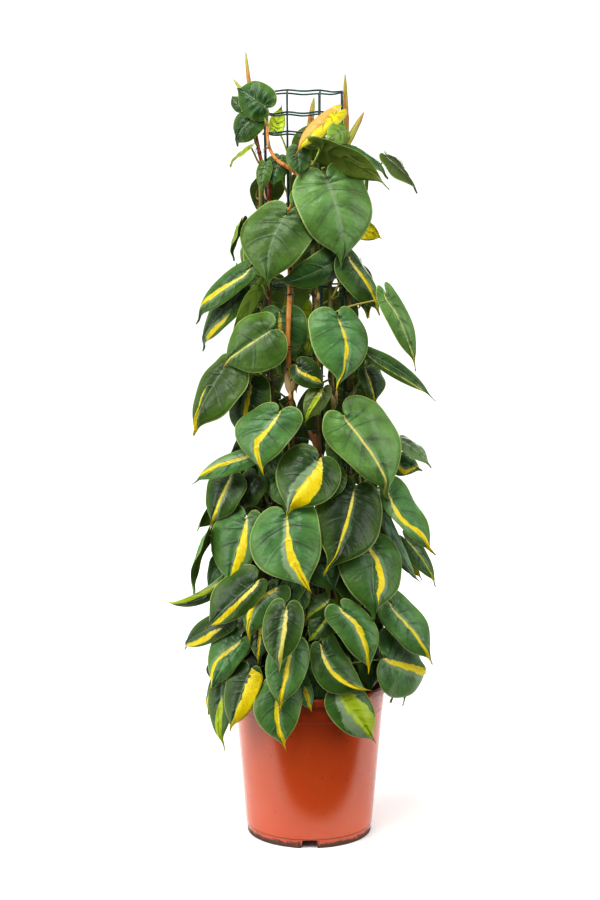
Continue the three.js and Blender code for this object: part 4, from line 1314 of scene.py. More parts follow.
class Settler:
    """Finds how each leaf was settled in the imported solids, from their corners."""

    def __init__(self) -> None:
        """Gather the corners of every vine's solid."""
        self.trees: dict[str, KDTree] = {}
        for vine in VINES:
            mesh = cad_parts[vine.name].data
            corners = np.empty(len(mesh.vertices) * 3, dtype=np.float32)
            mesh.vertices.foreach_get("co", corners)
            corners = np.unique(np.round(corners.reshape(-1, 3) / MM, 3), axis=0)
            tree = KDTree(len(corners))
            for i, corner in enumerate(corners):
                tree.insert(corner, i)
            tree.balance()
            self.trees[vine.name] = tree

    def settle(self, blade: Blade) -> None:
        """Find a blade's shift along its face and its vine by its plain outline's corners.

        Args:
            blade: the blade, which gets its shift, vine and stalk.
        """
        best = (-1, 0.0, "")
        u, v = COARSE_OUTLINE.T
        for shift in SHIFTS:
            blade.shift = shift
            corners = np.concatenate([blade.point(u, s * v, lift) for s in (1, -1) for lift in (0.4, -0.4)])
            for name, tree in self.trees.items():
                hits = sum(tree.find(c)[2] < 0.05 for c in corners[::3])
                if hits > best[0]:
                    best = (hits, shift, name)
        if best[0] < 4:
            LOG.warning("leaf %s isn't found in the solids (%d corners)", blade.name, best[0])
        blade.shift, blade.vine = best[1], best[2]
        self.find_stalk(blade)

    def find_stalk(self, blade: Blade) -> None:
        """Find the node and the swing of a blade's stalk by the rings of its plain solid.

        Args:
            blade: the blade, with its shift and vine set.
        """
        vine = next(one for one in VINES if one.name == blade.vine)
        tree = self.trees[vine.name]
        ideal = blade.base - np.array([0, 0, 30.0])
        roots = vine.nodes()
        best = (-1.0, None)
        for root in roots[np.argsort(np.linalg.norm(roots - ideal, axis=1))[:16]]:
            for swing in SWINGS:
                curve = stalk_curve(blade, root, swing)
                fine = bezier(*curve, np.linspace(0, 1, 201))
                length = np.linalg.norm(np.diff(fine, axis=0), axis=1).sum()
                steps = int(np.clip(round(length / 27), 2, 3))
                rings = spaced(fine, steps)[1:-1]
                hits = sum(
                    abs((Vector(found[0]) - Vector(ring)).length - STALK_RADIUS) < 0.05
                    for ring in rings for found in tree.find_n(ring, 3)
                ) / len(rings)
                if hits > best[0]:
                    best = (hits, curve)
        if best[0] < 1:
            nearest = roots[np.argmin(np.linalg.norm(roots - ideal, axis=1))]
            best = (0.0, stalk_curve(blade, nearest, 0.0))
            LOG.info("stalk of %s starts at the nearest node", blade.name)
        blade.stalk = best[1]


def stalk_curve(blade: Blade, root: Points, swing: float) -> Curve:
    """Control points of a stalk: it rises behind the blade and bends over into its underside.

    Args:
        blade: the blade.
        root: node on the stem.
        swing: how far it bows sideways, in spans.

    Returns:
        Root, rise, bend and end.
    """
    heel, middle = blade.point(np.array([0.0, 0.48]), np.zeros(2))
    end = heel + 0.1 * (middle - heel) - 0.16 * blade.face
    span = float(np.linalg.norm(end - root))
    outward = outward_at(root)
    sideways = np.cross([0.0, 0.0, 1.0], outward)
    rise = root + outward * 0.35 * span + sideways * swing * span + np.array([0, 0, 0.2 * span])
    return root, rise, end - blade.face * 0.3 * span, end


# Pieces


def finish_piece(obj: bpy.types.Object, slot: str, *nodes: str) -> None:
    """Ride a piece on the root body and hide the imported nodes that it stands for.

    Args:
        obj: the piece.
        slot: material slot in the record; not used.
        *nodes: nodes that it replaces.
    """
    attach(obj, "root")
    if nodes:
        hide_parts(*nodes)
    LOG.info("%s: %d faces", obj.name, len(obj.data.polygons))


@dataclass
class Pot:
    """The nursery pot, turned on its axis, with slots through its foot ring."""

    height: float = 235.0
    rim_radius: float = 120.0
    skirt_height: float = 11.0
    skirt_wall: float = 1.8
    top_radius: float = 114.8
    foot_wall_radius: float = 96.4
    wall: float = 2.2
    band_height: float = 38.0
    band_step: float = 0.7
    foot_radius: float = 94.5
    foot_height: float = 14.0
    floor_top: float = 16.0
    floor_under: float = 13.6
    hub_radius: float = 18.0
    notch_widths: tuple[float, float] = (25.0, 21.0)
    notch_height: float = 12.0
    drains: int = 6
    drain_radius: float = 5.0
    drain_circle: float = 58.0
    finish: PotFinish = PotFinish()

    def wall_radius(self, z: float) -> float:
        """Outer radius of the tapering wall at a height."""
        share = (z - self.foot_height) / (self.height - self.skirt_height - self.foot_height)
        return self.foot_wall_radius + (self.top_radius - self.foot_wall_radius) * share

    def inner_radius(self, z: float) -> float:
        """Inner radius of the wall at a height."""
        share = (z - self.floor_top) / (self.height - self.floor_top)
        return self.foot_wall_radius - self.wall + (self.top_radius - self.foot_wall_radius) * share

    def profile(self) -> Points:
        """Radius and height pairs from the underside's centre to the floor's centre, with each
        corner cut by a small round so that it takes a highlight."""
        band = self.height - self.band_height
        skirt = self.height - self.skirt_height
        brim = self.height - 2.8
        corners = [
            (0.0, 0.0, 0), (self.hub_radius, 0, 0.3), (self.hub_radius, self.floor_under, 0.3),
            (self.foot_radius - 3, self.floor_under, 0.3), (self.foot_radius - 3, 0, 0.4),
            (self.foot_radius, 0, 0.7), (self.foot_radius + 1.1, self.foot_height - 0.8, 0.4),
            (self.foot_wall_radius, self.foot_height, 0.6), (self.wall_radius(band), band, 0.3),
            (self.wall_radius(band) + self.band_step, band + self.band_step, 0.3),
            (self.top_radius + self.band_step, brim, 0.5), (self.rim_radius - self.skirt_wall, brim, 0.4),
            (self.rim_radius - self.skirt_wall, skirt, 0.4), (self.rim_radius, skirt, 0.5),
            (self.rim_radius, self.height, 1.2), (self.inner_radius(self.height), self.height, 1.2),
            (self.inner_radius(self.floor_top), self.floor_top, 2.0), (0.0, self.floor_top, 0),
        ]
        points = np.array([c[:2] for c in corners], dtype=float)
        rows = [points[0]]
        for i in range(1, len(points) - 1):
            size = corners[i][2]
            before, after = points[i - 1] - points[i], points[i + 1] - points[i]
            start = points[i] + before * min(size / np.linalg.norm(before), 0.45)
            end = points[i] + after * min(size / np.linalg.norm(after), 0.45)
            t = np.array([0, 0.5, 1])[:, None]
            rows.extend((1 - t) ** 2 * start + 2 * t * (1 - t) * points[i] + t**2 * end)
        rows.append(points[-1])
        rows = np.array(rows)
        steps = np.linalg.norm(np.diff(rows, axis=0), axis=1)
        dense = [rows[:1]]
        for a, b, step in zip(rows[:-1], rows[1:], steps):
            count = max(int(step // 9), 1)
            dense.append(a + (b - a) * np.linspace(1 / count, 1, count)[:, None])
        return np.concatenate(dense)

    def azimuths(self) -> Points:
        """Angles of the columns, with extra ones at the slots' slanted sides."""
        even = np.linspace(0, 360, 144, endpoint=False)
        edges = [
            90 * k + sign * math.degrees(width / 2 / self.foot_radius)
            for k in range(4) for sign in (1, -1) for width in self.notch_widths
        ]
        return np.sort(np.concatenate([even, np.mod(edges, 360)]))

    def build(self) -> None:
        """Turn the profile: x = r sin(a), y = -r cos(a). Low points inside a slot are lifted to
        its top, by a ramp between its two widths. The drains are cut afterwards."""
        profile, angles = self.profile(), self.azimuths()
        radius, height = profile[:, 0][:, None], profile[:, 1][:, None]
        off_notch = np.abs((angles + 45) % 90 - 45) * np.pi / 180 * self.foot_radius
        wide, narrow = (w / 2 for w in self.notch_widths)
        lifted = self.notch_height * np.clip((wide - off_notch) / (wide - narrow), 0, 1)
        ring = radius > self.hub_radius + 5
        z = np.where(ring & (height < lifted[None, :]), lifted[None, :], height)
        turn = np.radians(angles)
        r = np.maximum(radius, 0.01)
        points = np.stack(np.broadcast_arrays(r * np.sin(turn), -r * np.cos(turn), z), -1)
        skin = Skin()
        skin.add(points, grid_quads(len(profile), len(angles), wrap=True))
        pot = skin.build("pot_moulded", self.finish.material())
        self.cut_drains(pot)
        finish_piece(pot, "pot", "pot")

    def cut_drains(self, pot: bpy.types.Object) -> None:
        """Cut the floor's drain holes with round cutters.

        Args:
            pot: the turned pot.
        """
        cutters = Skin()
        for k in range(self.drains):
            angle = (k + 0.5) * 2 * np.pi / self.drains
            x, y = math.sin(angle) * self.drain_circle, math.cos(angle) * self.drain_circle
            path = np.array([[x, y, z] for z in (8.0, 12.0, 16.0, 22.0)])
            cutters.add(*tube_patch(path, np.full(4, self.drain_radius), 24))
        cutter = cutters.build("drain_cutter", bpy.data.materials.new("cutter"))
        merge_poles(cutter)
        merge_poles(pot)
        boolean = pot.modifiers.new("drains", "BOOLEAN")
        boolean.object, boolean.operation, boolean.solver = cutter, "DIFFERENCE", "EXACT"
        bake_modifiers(pot)
        bpy.data.objects.remove(cutter)


def merge_poles(obj: bpy.types.Object, distance: float = 0.0001) -> None:
    """Merge the corners that meet at poles, and point all faces outwards.

    Args:
        obj: the object.
        distance: how near they are, in metres.
    """
    work = bmesh.new()
    work.from_mesh(obj.data)
    bmesh.ops.remove_doubles(work, verts=work.verts, dist=distance)
    bmesh.ops.recalc_face_normals(work, faces=work.faces)
    work.to_mesh(obj.data)
    work.free()


def bake_modifiers(obj: bpy.types.Object) -> None:
    """Apply an object's modifiers to its mesh.

    Args:
        obj: the object.
    """
    depsgraph = bpy.context.evaluated_depsgraph_get()
    baked = bpy.data.meshes.new_from_object(obj.evaluated_get(depsgraph))
    obj.modifiers.clear()
    obj.data = baked


@dataclass
class Soil:
    """Potting soil: a crumbly surface over a plain body, with loose bark and crumbs on it."""

    level: float = SOIL_LEVEL
    crown: float = 2.0
    bottom: float = 16.4
    crumbs: int = 900
    seed: int = 5

    def build(self, pot: Pot) -> None:
        """Build the soil as a turned body whose top heaves by a few waves, with crumbs on it.

        Args:
            pot: the pot that it fills.
        """
        rng = np.random.default_rng(self.seed)
        edge = pot.inner_radius(self.level) - 0.6
        tops = np.linspace(edge, 0.01, 34)
        angles = np.linspace(0, 2 * np.pi, 120, endpoint=False)
        crown = self.crown * np.exp(-(((tops - 61) / 26) ** 2))
        x, y = tops[:, None] * np.sin(angles), -tops[:, None] * np.cos(angles)
        heave = 1.5 * np.sin(x / 7 + 1.3 * np.cos(y / 9)) * np.cos(y / 6 + 0.7 * np.sin(x / 11))
        z = self.level + crown[:, None] + heave - 1.0
        foot = np.array([
            [0.01, self.bottom], [pot.inner_radius(self.bottom) - 3, self.bottom],
            [pot.inner_radius(self.bottom + 3) - 0.6, self.bottom + 3], [edge, self.level - 6],
        ])
        wall = np.stack(
            np.broadcast_arrays(
                foot[:, :1] * np.sin(angles), -foot[:, :1] * np.cos(angles), foot[:, 1:]
            ), -1,
        )
        points = np.concatenate([wall, np.stack([x, y, z], -1)])
        skin = Skin()
        skin.add(points, grid_quads(len(points), len(angles), wrap=True))
        shape = np.array([[1, 0, 0], [0, 1, 0], [-1, 0, 0], [0, -1, 0]], dtype=float)
        for _ in range(self.crumbs):
            radius, angle = edge * math.sqrt(rng.uniform(0, 0.94)), rng.uniform(0, 2 * np.pi)
            centre = np.array([radius * math.sin(angle), -radius * math.cos(angle), self.level + 0.6])
            size = rng.uniform(1.2, 3.6) * np.array([1, rng.uniform(0.5, 1), rng.uniform(0.5, 0.8)])
            rings = [0.2 * shape - [0, 0, 0.7], shape * rng.uniform(0.8, 1.2, (4, 1)),
                     shape * rng.uniform(0.4, 0.8, (4, 1)) + [0, 0, 0.7], 0.1 * shape + [0, 0, 0.95]]
            turned = turn_about(np.concatenate(rings) * size, rng.uniform(0, 2 * np.pi))
            skin.add(turned + centre, grid_quads(4, 4, wrap=True))
        soil = skin.build("soil_peat", PEAT.material())
        merge_poles(soil, 0.00002)
        finish_piece(soil, "soil", "soil")


def turn_about(points: Points, angle: float) -> Points:
    """Turn points about the Z axis through the origin."""
    cos, sin = math.cos(angle), math.sin(angle)
    return points @ np.array([[cos, sin, 0], [-sin, cos, 0], [0, 0, 1]])


@dataclass
class Netting:
    """The column of welded wire: straight uprights and wavy rings."""

    ring_radius: float = 59.6
    wave: float = 1.5
    prong_bottom: float = 150.0
    seed: int = 3

    def build(self) -> None:
        """Carry circles along the wires. A ring's height waves as cos(8a), lowest between the
        uprights, and an upright drifts by a slow sine."""
        rng = np.random.default_rng(self.seed)
        skin = Skin()
        for azimuth in WIRE_AZIMUTHS:
            z = np.linspace(self.prong_bottom, RING_HEIGHTS[-1] + 1.3, 90)
            fade = smooth_step(205, 320, z)
            drift = 0.7 * fade * np.sin(z / rng.uniform(60, 90) + rng.uniform(0, 6))
            path = around_column(azimuth + drift / COLUMN_RADIUS * 57, COLUMN_RADIUS + 0.2 * drift, z)
            skin.add(*tube_patch(path, np.full(len(z), WIRE_RADIUS), 8))
        for height in RING_HEIGHTS:
            azimuth = np.linspace(0, 360, 129)
            dip = self.wave * np.cos(np.radians(8 * azimuth)) * rng.uniform(0.4, 0.9)
            sag = 0.8 * np.sin(np.radians(azimuth) + rng.uniform(0, 6))
            z = height - dip + sag
            path = around_column(azimuth, self.ring_radius, z)[:-1]
            skin.add(*ring_patch(path, WIRE_RADIUS, 8))
        netting = skin.build("netting_welded", WIRE_COAT.material())
        merge_poles(netting)
        finish_piece(netting, "netting", "netting_column")


def ring_patch(path: Points, radius: float, sides: int) -> tuple[Points, Points]:
    """Carry a circle along a closed path whose axis stands nearly upright.

    Args:
        path: n by 3 points round the loop, the last next to the first.
        radius: radius of the wire.
        sides: corners of the circle.

    Returns:
        The vertices and quads of the closed ring.
    """
    tangents = unit(np.roll(path, -1, axis=0) - np.roll(path, 1, axis=0))
    outward = unit(np.cross(tangents, [0.0, 0.0, 1.0]))
    upward = np.cross(outward, tangents)
    angle = np.linspace(0, 2 * np.pi, sides, endpoint=False)
    ring = np.cos(angle)[None, :, None] * outward[:, None] + np.sin(angle)[None, :, None] * upward[:, None]
    vertices = path[:, None] + radius * ring
    count = len(path)
    i, j = np.meshgrid(np.arange(count), np.arange(sides), indexing="ij")
    i2, j2 = (i + 1) % count, (j + 1) % sides
    quads = np.stack([i * sides + j, i2 * sides + j, i2 * sides + j2, i * sides + j2], -1)
    return vertices.reshape(-1, 3), quads.reshape(-1, 4)


@dataclass
class Tie:
    """A twist tie: a turn of thin wire round an upright and a stem, and its two twisted ends."""

    index: int
    vine: Vine
    height: float
    wire: float = 0.9
    tail: float = 7.0

    def build(self, material: bpy.types.Material) -> None:
        """Carry a circle round an ellipse about upright and stem, and two strands in a helix.

        Args:
            material: the wire's skin.
        """
        corners = self.vine.corners()
        k = int(np.searchsorted(corners[:, 2], self.height))
        share = (self.height - corners[k - 1, 2]) / (corners[k, 2] - corners[k - 1, 2])
        stem = corners[k - 1] + share * (corners[k] - corners[k - 1])
        gaps = [abs((a - self.vine.azimuth + 540) % 360 - 180) for a in WIRE_AZIMUTHS]
        upright = around_column(WIRE_AZIMUTHS[int(np.argmin(gaps))], COLUMN_RADIUS, self.height)
        towards = stem - upright
        towards[2] = 0
        apart = float(np.linalg.norm(towards))
        towards = towards / apart
        long = (apart + STEM_RADIUS + WIRE_RADIUS) / 2 + 0.4 + self.wire
        short = (STEM_RADIUS + 0.4 + self.wire) * 1.25
        centre = (upright + stem) / 2 + towards * (STEM_RADIUS - WIRE_RADIUS) / 2
        square = np.array([-towards[1], towards[0], 0])
        skin = Skin()
        angle = np.linspace(0, 2 * np.pi, 49)[:-1]
        a = long * np.cos(angle)
        path = centre + a[:, None] * towards + (short * np.sin(angle))[:, None] * square
        path[:, 2] += 0.12 * a
        skin.add(*ring_patch(path, self.wire, 8))
        start = centre + towards * (long - self.wire / 2)
        end = start + towards * self.tail + np.array([3, 0, 7])
        t = np.linspace(0, 1, 24)[:, None]
        axis = unit(end - start)
        first = unit(np.cross(axis, [0.0, 0.0, 1.0]))
        second = np.cross(axis, first)
        for phase in (0, math.pi):
            twist = 5 * np.pi * t + phase
            strand = start + (end - start) * t + 0.55 * (np.cos(twist) * first + np.sin(twist) * second)
            skin.add(*tube_patch(strand, np.full(24, self.wire * 0.6), 6))
        tie = skin.build(f"twist_tie_{self.index}", material)
        merge_poles(tie, 0.00002)
        finish_piece(tie, "tie", f"tie_{self.index}")


@dataclass
class Foliage:
    """All the vines: stems, stalks, blades, rolled young leaves, roots and sheaths.

    Attributes:
        rows: rows of a blade's grid from its stalk to its tip.
        columns: columns from its midrib to its edge.
        thickness: thickness of a blade.
        quilt: depth of the bulges between the veins of a blade 80 mm wide.
        crown: height of each half's crown as a share of the width.
        striped: share of the further leaves that have a streak.
        further: most further leaves.
    """

    rows: int = 48
    columns: int = 7
    thickness: float = 0.5
    quilt: float = 1.7
    crown: float = 0.035
    striped: float = 0.75
    further: int = 130

    def outline(self) -> tuple[Points, Points]:
        """Half outline of a heart-shaped blade with a drawn-out tip.

        Returns:
            Midrib shares and edge points, one of each for every row.
        """
        corners = np.array([
            [0.0, 0.0, 0], [-0.08, 0.03, 0], [-0.14, 0.095, 0], [-0.162, 0.19, 0], [-0.13, 0.305, 0],
            [-0.045, 0.41, 0], [0.085, 0.48, 0], [0.24, 0.505, 0], [0.41, 0.492, 0], [0.56, 0.438, 0],
            [0.68, 0.35, 0], [0.775, 0.24, 0], [0.85, 0.138, 0], [0.91, 0.066, 0], [0.96, 0.03, 0],
            [1.01, 0.014, 0], [1.06, 0.003, 0],
        ])
        edge = spaced(catmull_rom(corners, 400), self.rows)[1:, :2]
        s = np.linspace(0, 1, self.rows + 1)[1:]
        midrib = np.where(s < 0.3, 0.06 * s / 0.3, 0.06 + 0.94 * (np.maximum(s - 0.3, 0) / 0.7) ** 2.1)
        return np.minimum(1.06 * midrib, 1.056), edge

    def blade_patch(self, blade: Blade, tone: Points, skin: Skin) -> None:
        """Add one blade: an upper and a lower sheet joined round the edge.

        Each row runs from the midrib to the edge along a line that bends forward, as the side
        veins do. The sheet bulges between its veins by a sine along the edge, crowns between
        midrib and edge, rolls up at the lobes, swells at a shoulder on each half, waves at its
        edge, droops at the tip, and the tip hooks to one side.

        Args:
            blade: the blade.
            tone: linear ground colour.
            skin: the mesh that it goes into.
        """
        midrib, edge = self.outline()
        side = np.linspace(-1, 1, 2 * self.columns + 1)
        t = np.abs(side)[None, :]
        u0, u1, v1 = midrib[:, None], edge[:, :1], edge[:, 1:]
        u_mid, v_mid = u0 + 0.3 * (u1 - u0), 0.6 * v1
        u = (1 - t) ** 2 * u0 + 2 * t * (1 - t) * u_mid + t * t * u1
        half = 2 * t * (1 - t) * v_mid + t * t * v1
        v = half * np.sign(side)[None, :]
        s = (np.arange(self.rows) + 1.0)[:, None] / self.rows
        random = np.random.default_rng(sum(map(ord, blade.name)))
        width = blade.width
        deep = blade.leaf.quilt if blade.leaf is not None else 1.0
        bulge = np.abs(np.sin(np.pi * SIDE_VEINS * s)) * (1 - t**2) * np.minimum(t * 4, 1)
        lift = self.quilt * deep * width / 80 * (bulge - 0.5)
        crown = self.crown * random.uniform(0.7, 1.4) * width
        lift = lift + crown * np.sin(np.pi * t**0.8) * smooth_step(-0.2, 0.2, u)
        lift = lift + 0.05 * width * t**2 * smooth_step(0.05, -0.16, u)
        shoulder = random.uniform(0.025, 0.06) * width * np.exp(-(((u - 0.1) / 0.2) ** 2))
        lift = lift + shoulder * np.exp(-(((t - 0.42) / 0.24) ** 2))
        wave = np.sin(random.uniform(4, 8) * u + random.uniform(0, 6) + 2.1 * (side[None, :] > 0))
        lift = lift + random.uniform(0.015, 0.05) * width * t**3 * wave * smooth_step(-0.1, 0.3, u)
        lift = lift - random.uniform(0.0, 0.09) * blade.length * smooth_step(0.75, 1.0, u) ** 2
        hook = random.uniform(-0.05, 0.05) * blade.length / width
        v = v + hook * smooth_step(0.72, 1.0, u) ** 2
        upper = blade.point(u, v, lift + self.thickness / 2, fine=True)
        lower = blade.point(u, v, lift - self.thickness / 2, fine=True)
        rows, columns = v.shape
        grid = grid_quads(rows, columns, flip=True)
        under = grid_quads(rows, columns) + rows * columns
        loop = np.concatenate([
            np.arange(columns), np.arange(1, rows) * columns + columns - 1,
            (rows - 1) * columns + np.arange(columns - 2, -1, -1), np.arange(rows - 2, 0, -1) * columns,
        ])
        after = np.roll(loop, -1)
        rim = np.stack([loop, after, after + rows * columns, loop + rows * columns], -1)
        u = np.broadcast_to(u, v.shape)
        across = half * np.sign(side)[None, :] * width * (1 + np.sign(side)[None, :] * blade.skew)
        streak, streak_tone, zone = self.paint(blade, u, across, random)
        place = np.stack([u, across, np.full_like(u, zone)], -1)
        weave = [
            np.stack(np.broadcast_arrays(s, t, np.full_like(u, flag)), -1).reshape(-1, 3)
            for flag in (0.0, self.paleness(blade))
        ]
        skin.add(
            np.concatenate([upper.reshape(-1, 3), lower.reshape(-1, 3)]),
            np.concatenate([grid, under, rim]),
            tone=tone,
            streak=np.tile(streak.reshape(-1, 3), (2, 1)),
            streak_tone=streak_tone,
            place=np.tile(place.reshape(-1, 3), (2, 1)),
            weave=np.concatenate(weave),
        )

    def paleness(self, blade: Blade) -> float:
        """How far a blade's underside is the pale one: hardly on a yellow leaf, less on a dark one."""
        if blade.leaf is None:
            return 1.0
        bright = blade.leaf.tone in (Tone.YELLOW, Tone.LIME)
        # A low shade figure, partly painted shade, keeps the underside darker too
        return 0.05 if bright else min(1.0, blade.leaf.shade)

    def paint(
        self, blade: Blade, u: Points, across: Points, random: np.random.Generator
    ) -> tuple[Points, Points, float]:
        """Lay the streak on a blade.

        The first value is the distance from the streak's line, the second its half width, and
        the third how far the grey-green beside it lies to one side.

        Args:
            blade: the blade.
            u: shares along the midrib.
            across: millimetres from the midrib.
            random: the leaf's own draw.

        Returns:
            The streak values, its linear colour and the share of grey-green.
        """
        scale = VIEW.scale(blade.base)
        seed = random.uniform()
        if blade.leaf is not None and blade.leaf.streak:
            rows = [(*blade.flat_place(x, y), 0.5 * w * scale) for x, y, w in blade.leaf.streak]
            hue, zone = blade.leaf.hue, blade.leaf.grey()
        elif blade.leaf is None and not blade.plain and random.uniform() < self.striped:
            start, end = random.uniform(0.0, 0.25), random.choice([0.85, 0.97, 0.98])
            drift = random.uniform(-0.12, 0.12) * blade.width
            wide = random.choice([1.2, 2.0, 3.6, 7.0], p=[0.35, 0.35, 0.2, 0.1])
            rows = [
                (start, 0.1 * drift, 0.7), (0.7 * start + 0.3 * end, 0.5 * drift, 0.5 * wide + 0.4),
                (0.3 * start + 0.7 * end, drift, wide), (end, 0.3 * drift, 0.5 * wide),
            ]
            hue = (Hue.YELLOW, Hue.YELLOW, Hue.CREAM, Hue.LIME)[random.integers(4)]
            zone = random.uniform(0.2, 0.8)
        else:
            off = np.stack([np.full_like(u, 90.0), np.full_like(u, -9.0), np.zeros_like(u)], -1)
            zone = blade.leaf.grey() if blade.leaf is not None else 0.3
            return off, np.array([*linear(Hue.YELLOW.value)[:3], seed]), zone
        rows = np.array(sorted(rows))
        limit = 0.5 * blade.width
        rows[:, 1] = np.clip(rows[:, 1], -limit, limit)
        first, last = rows[0], rows[-1]
        # A streak that starts near the stalk or ends near the tip runs on into it
        before = [first[0] - 0.16, first[1], -0.6] if first[0] > 0.16 else [-0.1, 0.0, 0.4]
        after = [last[0] + 0.14, last[1], -0.6] if last[0] < 0.84 else [1.06, 0.5 * last[1], last[2] + 0.5]
        rows = np.concatenate([[before], rows, [after]])
        curve = catmull_rom(rows * [100, 1, 1], 200) / [100, 1, 1]
        curve = curve[np.argsort(curve[:, 0])]
        line = np.interp(u, curve[:, 0], curve[:, 1])
        half = np.interp(u, curve[:, 0], curve[:, 2])
        lean = np.sign(random.uniform(-1, 1))
        if blade.leaf is not None and blade.leaf.lean:
            lean = blade.leaf.lean
        lean = lean * (1.0 + np.maximum(half, 0))
        return np.stack([across - line, half, lean], -1), np.array([*linear(hue.value)[:3], seed]), zone

    def stem_patch(self, vine: Vine, skin: Skin) -> None:
        """Add a stem: a tube that swells at its nodes, brown below and fresh at its end.

        Args:
            vine: the stem.
            skin: the mesh that it goes into.
        """
        climb = vine.climb(np.linspace(STEM_FOOT, vine.top, int((vine.top - STEM_FOOT) / 4)))
        seed = np.random.default_rng(int(vine.azimuth) + 400)
        old, young, fresh = (np.array(linear(c)) for c in ("3d2f18", "6e6128", vine.fresh))
        for path, slender in ((climb, 0.0), (vine.tail_curve(), 1.0)):
            if not len(path):
                continue
            count = len(path)
            at = np.arange(count) * (np.linalg.norm(np.diff(path, axis=0), axis=1).sum() / count)
            knot = np.exp(-(((at + seed.uniform(0, 40)) % 48 - 24) / 2.6) ** 2)
            radii = vine.radius - 0.3 * slender + 0.7 * knot
            if slender:
                radii = radii * (1 - 0.45 * np.linspace(0, 1, count) ** 2)
            height = smooth_step(230, 900, path[:, 2])[:, None]
            colour = old + (young - old) * height
            young_share = smooth_step(*vine.young, path[:, 2])
            colour = colour + (fresh - colour) * np.maximum(slender, young_share)[:, None]
            colour = colour * (1 - 0.45 * knot[:, None])
            colour[:, 3] = 1
            skin.add(*tube_patch(path, radii, 10), tone=np.repeat(with_ends(colour), 10, axis=0))

    def stalk_patch(self, blade: Blade, skin: Skin) -> None:
        """Add a stalk: a tube along its curve, thinner towards the blade and sheathed at its root.

        Args:
            blade: the blade that it carries.
            skin: the mesh that it goes into.
        """
        root, rise, bend, _ = blade.stalk
        end = blade.point(np.array([0.03]), np.zeros(1), -0.2, fine=True)[0]
        t = np.linspace(0, 1, 16)
        path = bezier(root, rise, bend, end, t)
        radii = 1.75 - 0.5 * t + 0.9 * np.exp(-((t / 0.07) ** 2)) + 0.35 * np.exp(-(((t - 1) / 0.05) ** 2))
        random = np.random.default_rng(sum(map(ord, blade.name)) + 7)
        low = np.array(linear("8a8a34"))
        high = np.array(linear(random.choice(["8fa544", "a58a3c", "7c9a3e"])))
        tone = low + (high - low) * t[:, None]
        skin.add(*tube_patch(path, radii, 7), tone=np.repeat(with_ends(tone), 7, axis=0))

    def spear_patch(self, spear: Spear, skin: Skin) -> None:
        """Add a rolled young leaf: a slender cone whose rolled edge winds round it.

        Args:
            spear: what the picture shows.
            skin: the mesh that it goes into.
        """
        base, tip = VIEW.point(*spear.root, spear.reach[0]), VIEW.point(*spear.tip, spear.reach[1])
        radius = 0.58 * spear.width * VIEW.scale(base)
        t = np.linspace(0, 1, 26)
        path = base + (tip - base) * t[:, None]
        girth = np.array([[0, 0.6], [0.03, 0.8], [0.2, 0.98], [0.4, 1], [0.8, 0.6], [0.97, 0.2], [1, 0.06]])
        radii = radius * np.interp(t, girth[:, 0], girth[:, 1])
        vertices, quads = tube_patch(path, radii, 14)
        rings = vertices.reshape(len(t) + 2, 14, 3)
        centre = with_ends(path)[:, None]
        turn = (np.arange(14)[None, :] / 14 + 0.9 * np.linspace(0, 1, len(t) + 2)[:, None]) % 1
        rings = centre + (rings - centre) * (0.86 + 0.2 * turn)[..., None]
        green, edge = np.array(linear("94902c")), np.array(linear("a8602a"))
        mix = smooth_step(0.5, 0.9, turn)[..., None]
        colour = green + (edge - green) * mix
        skin.add(rings.reshape(-1, 3), quads, tone=colour.reshape(-1, 4))

    def root_patches(self, vine: Vine, skin: Skin) -> None:
        """Add short aerial roots and torn papery sheaths at some of a stem's nodes.

        Args:
            vine: the stem.
            skin: the mesh that they go into.
        """
        random = np.random.default_rng(int(vine.azimuth) + 900)
        root_tone, paper = np.array(linear("6b2f1c")), np.array(linear("b08a58"))
        for node in vine.nodes()[1::2]:
            outward = outward_at(node)
            sideways = np.cross([0.0, 0.0, 1.0], outward)
            for _ in range(random.integers(0, 3)):
                lean = random.uniform(-1, 1) * sideways + random.uniform(0.2, 0.8) * outward
                tip = node + unit(lean) * random.uniform(6, 14) + np.array([0, 0, random.uniform(-14, -3)])
                middle = (node + tip) / 2 + outward * 3
                t = np.linspace(0, 1, 7)
                path = bezier(node, middle, middle, tip, t)
                skin.add(*tube_patch(path, 0.85 - 0.5 * t, 5), tone=root_tone)
            if random.uniform() < 0.45:
                start = node + outward * 2.5 + sideways * random.uniform(-3, 3)
                tip = start + np.array([0, 0, random.uniform(12, 26)]) + outward * random.uniform(2, 7)
                t = np.linspace(0, 1, 9)
                path = bezier(start, start + outward * 5, (start + tip) / 2 + outward * 4, tip, t)
                radii = 2.6 * np.sin(np.pi * (0.12 + 0.86 * t))
                skin.add(*flat_tube(path, radii, outward, 0.8), tone=paper)

    def growth_patch(self, growth: Growth, vine: Vine, skin: Skin) -> None:
        """Add a sheath or a root: a tapering tube from the stem to a pixel, flattened or round.

        Args:
            growth: what the picture shows.
            vine: the stem that it stands on.
            skin: the mesh that it goes into.
        """
        z = VIEW.point(VIEW.centre[0], growth.start, STEM_CIRCLE)[2]
        start = vine.climb(np.array([z]))[0]
        outward = outward_at(start)
        end = VIEW.point(*growth.end, STEM_CIRCLE + vine.bow(z) + 5)
        t = np.linspace(0, 1, 11)
        path = bezier(start, start + outward * 4, (start + end) / 2 + outward * 6, end, t)
        radius = 0.5 * growth.width * VIEW.scale(start)
        sheet = growth.flat < 1
        radii = radius * (np.sin(np.pi * (0.15 + 0.72 * t)) if sheet else 1 - 0.55 * t)
        tube = flat_tube(path, radii, outward, 1 - growth.flat)
        skin.add(*tube, tone=np.array(linear(growth.colour)))

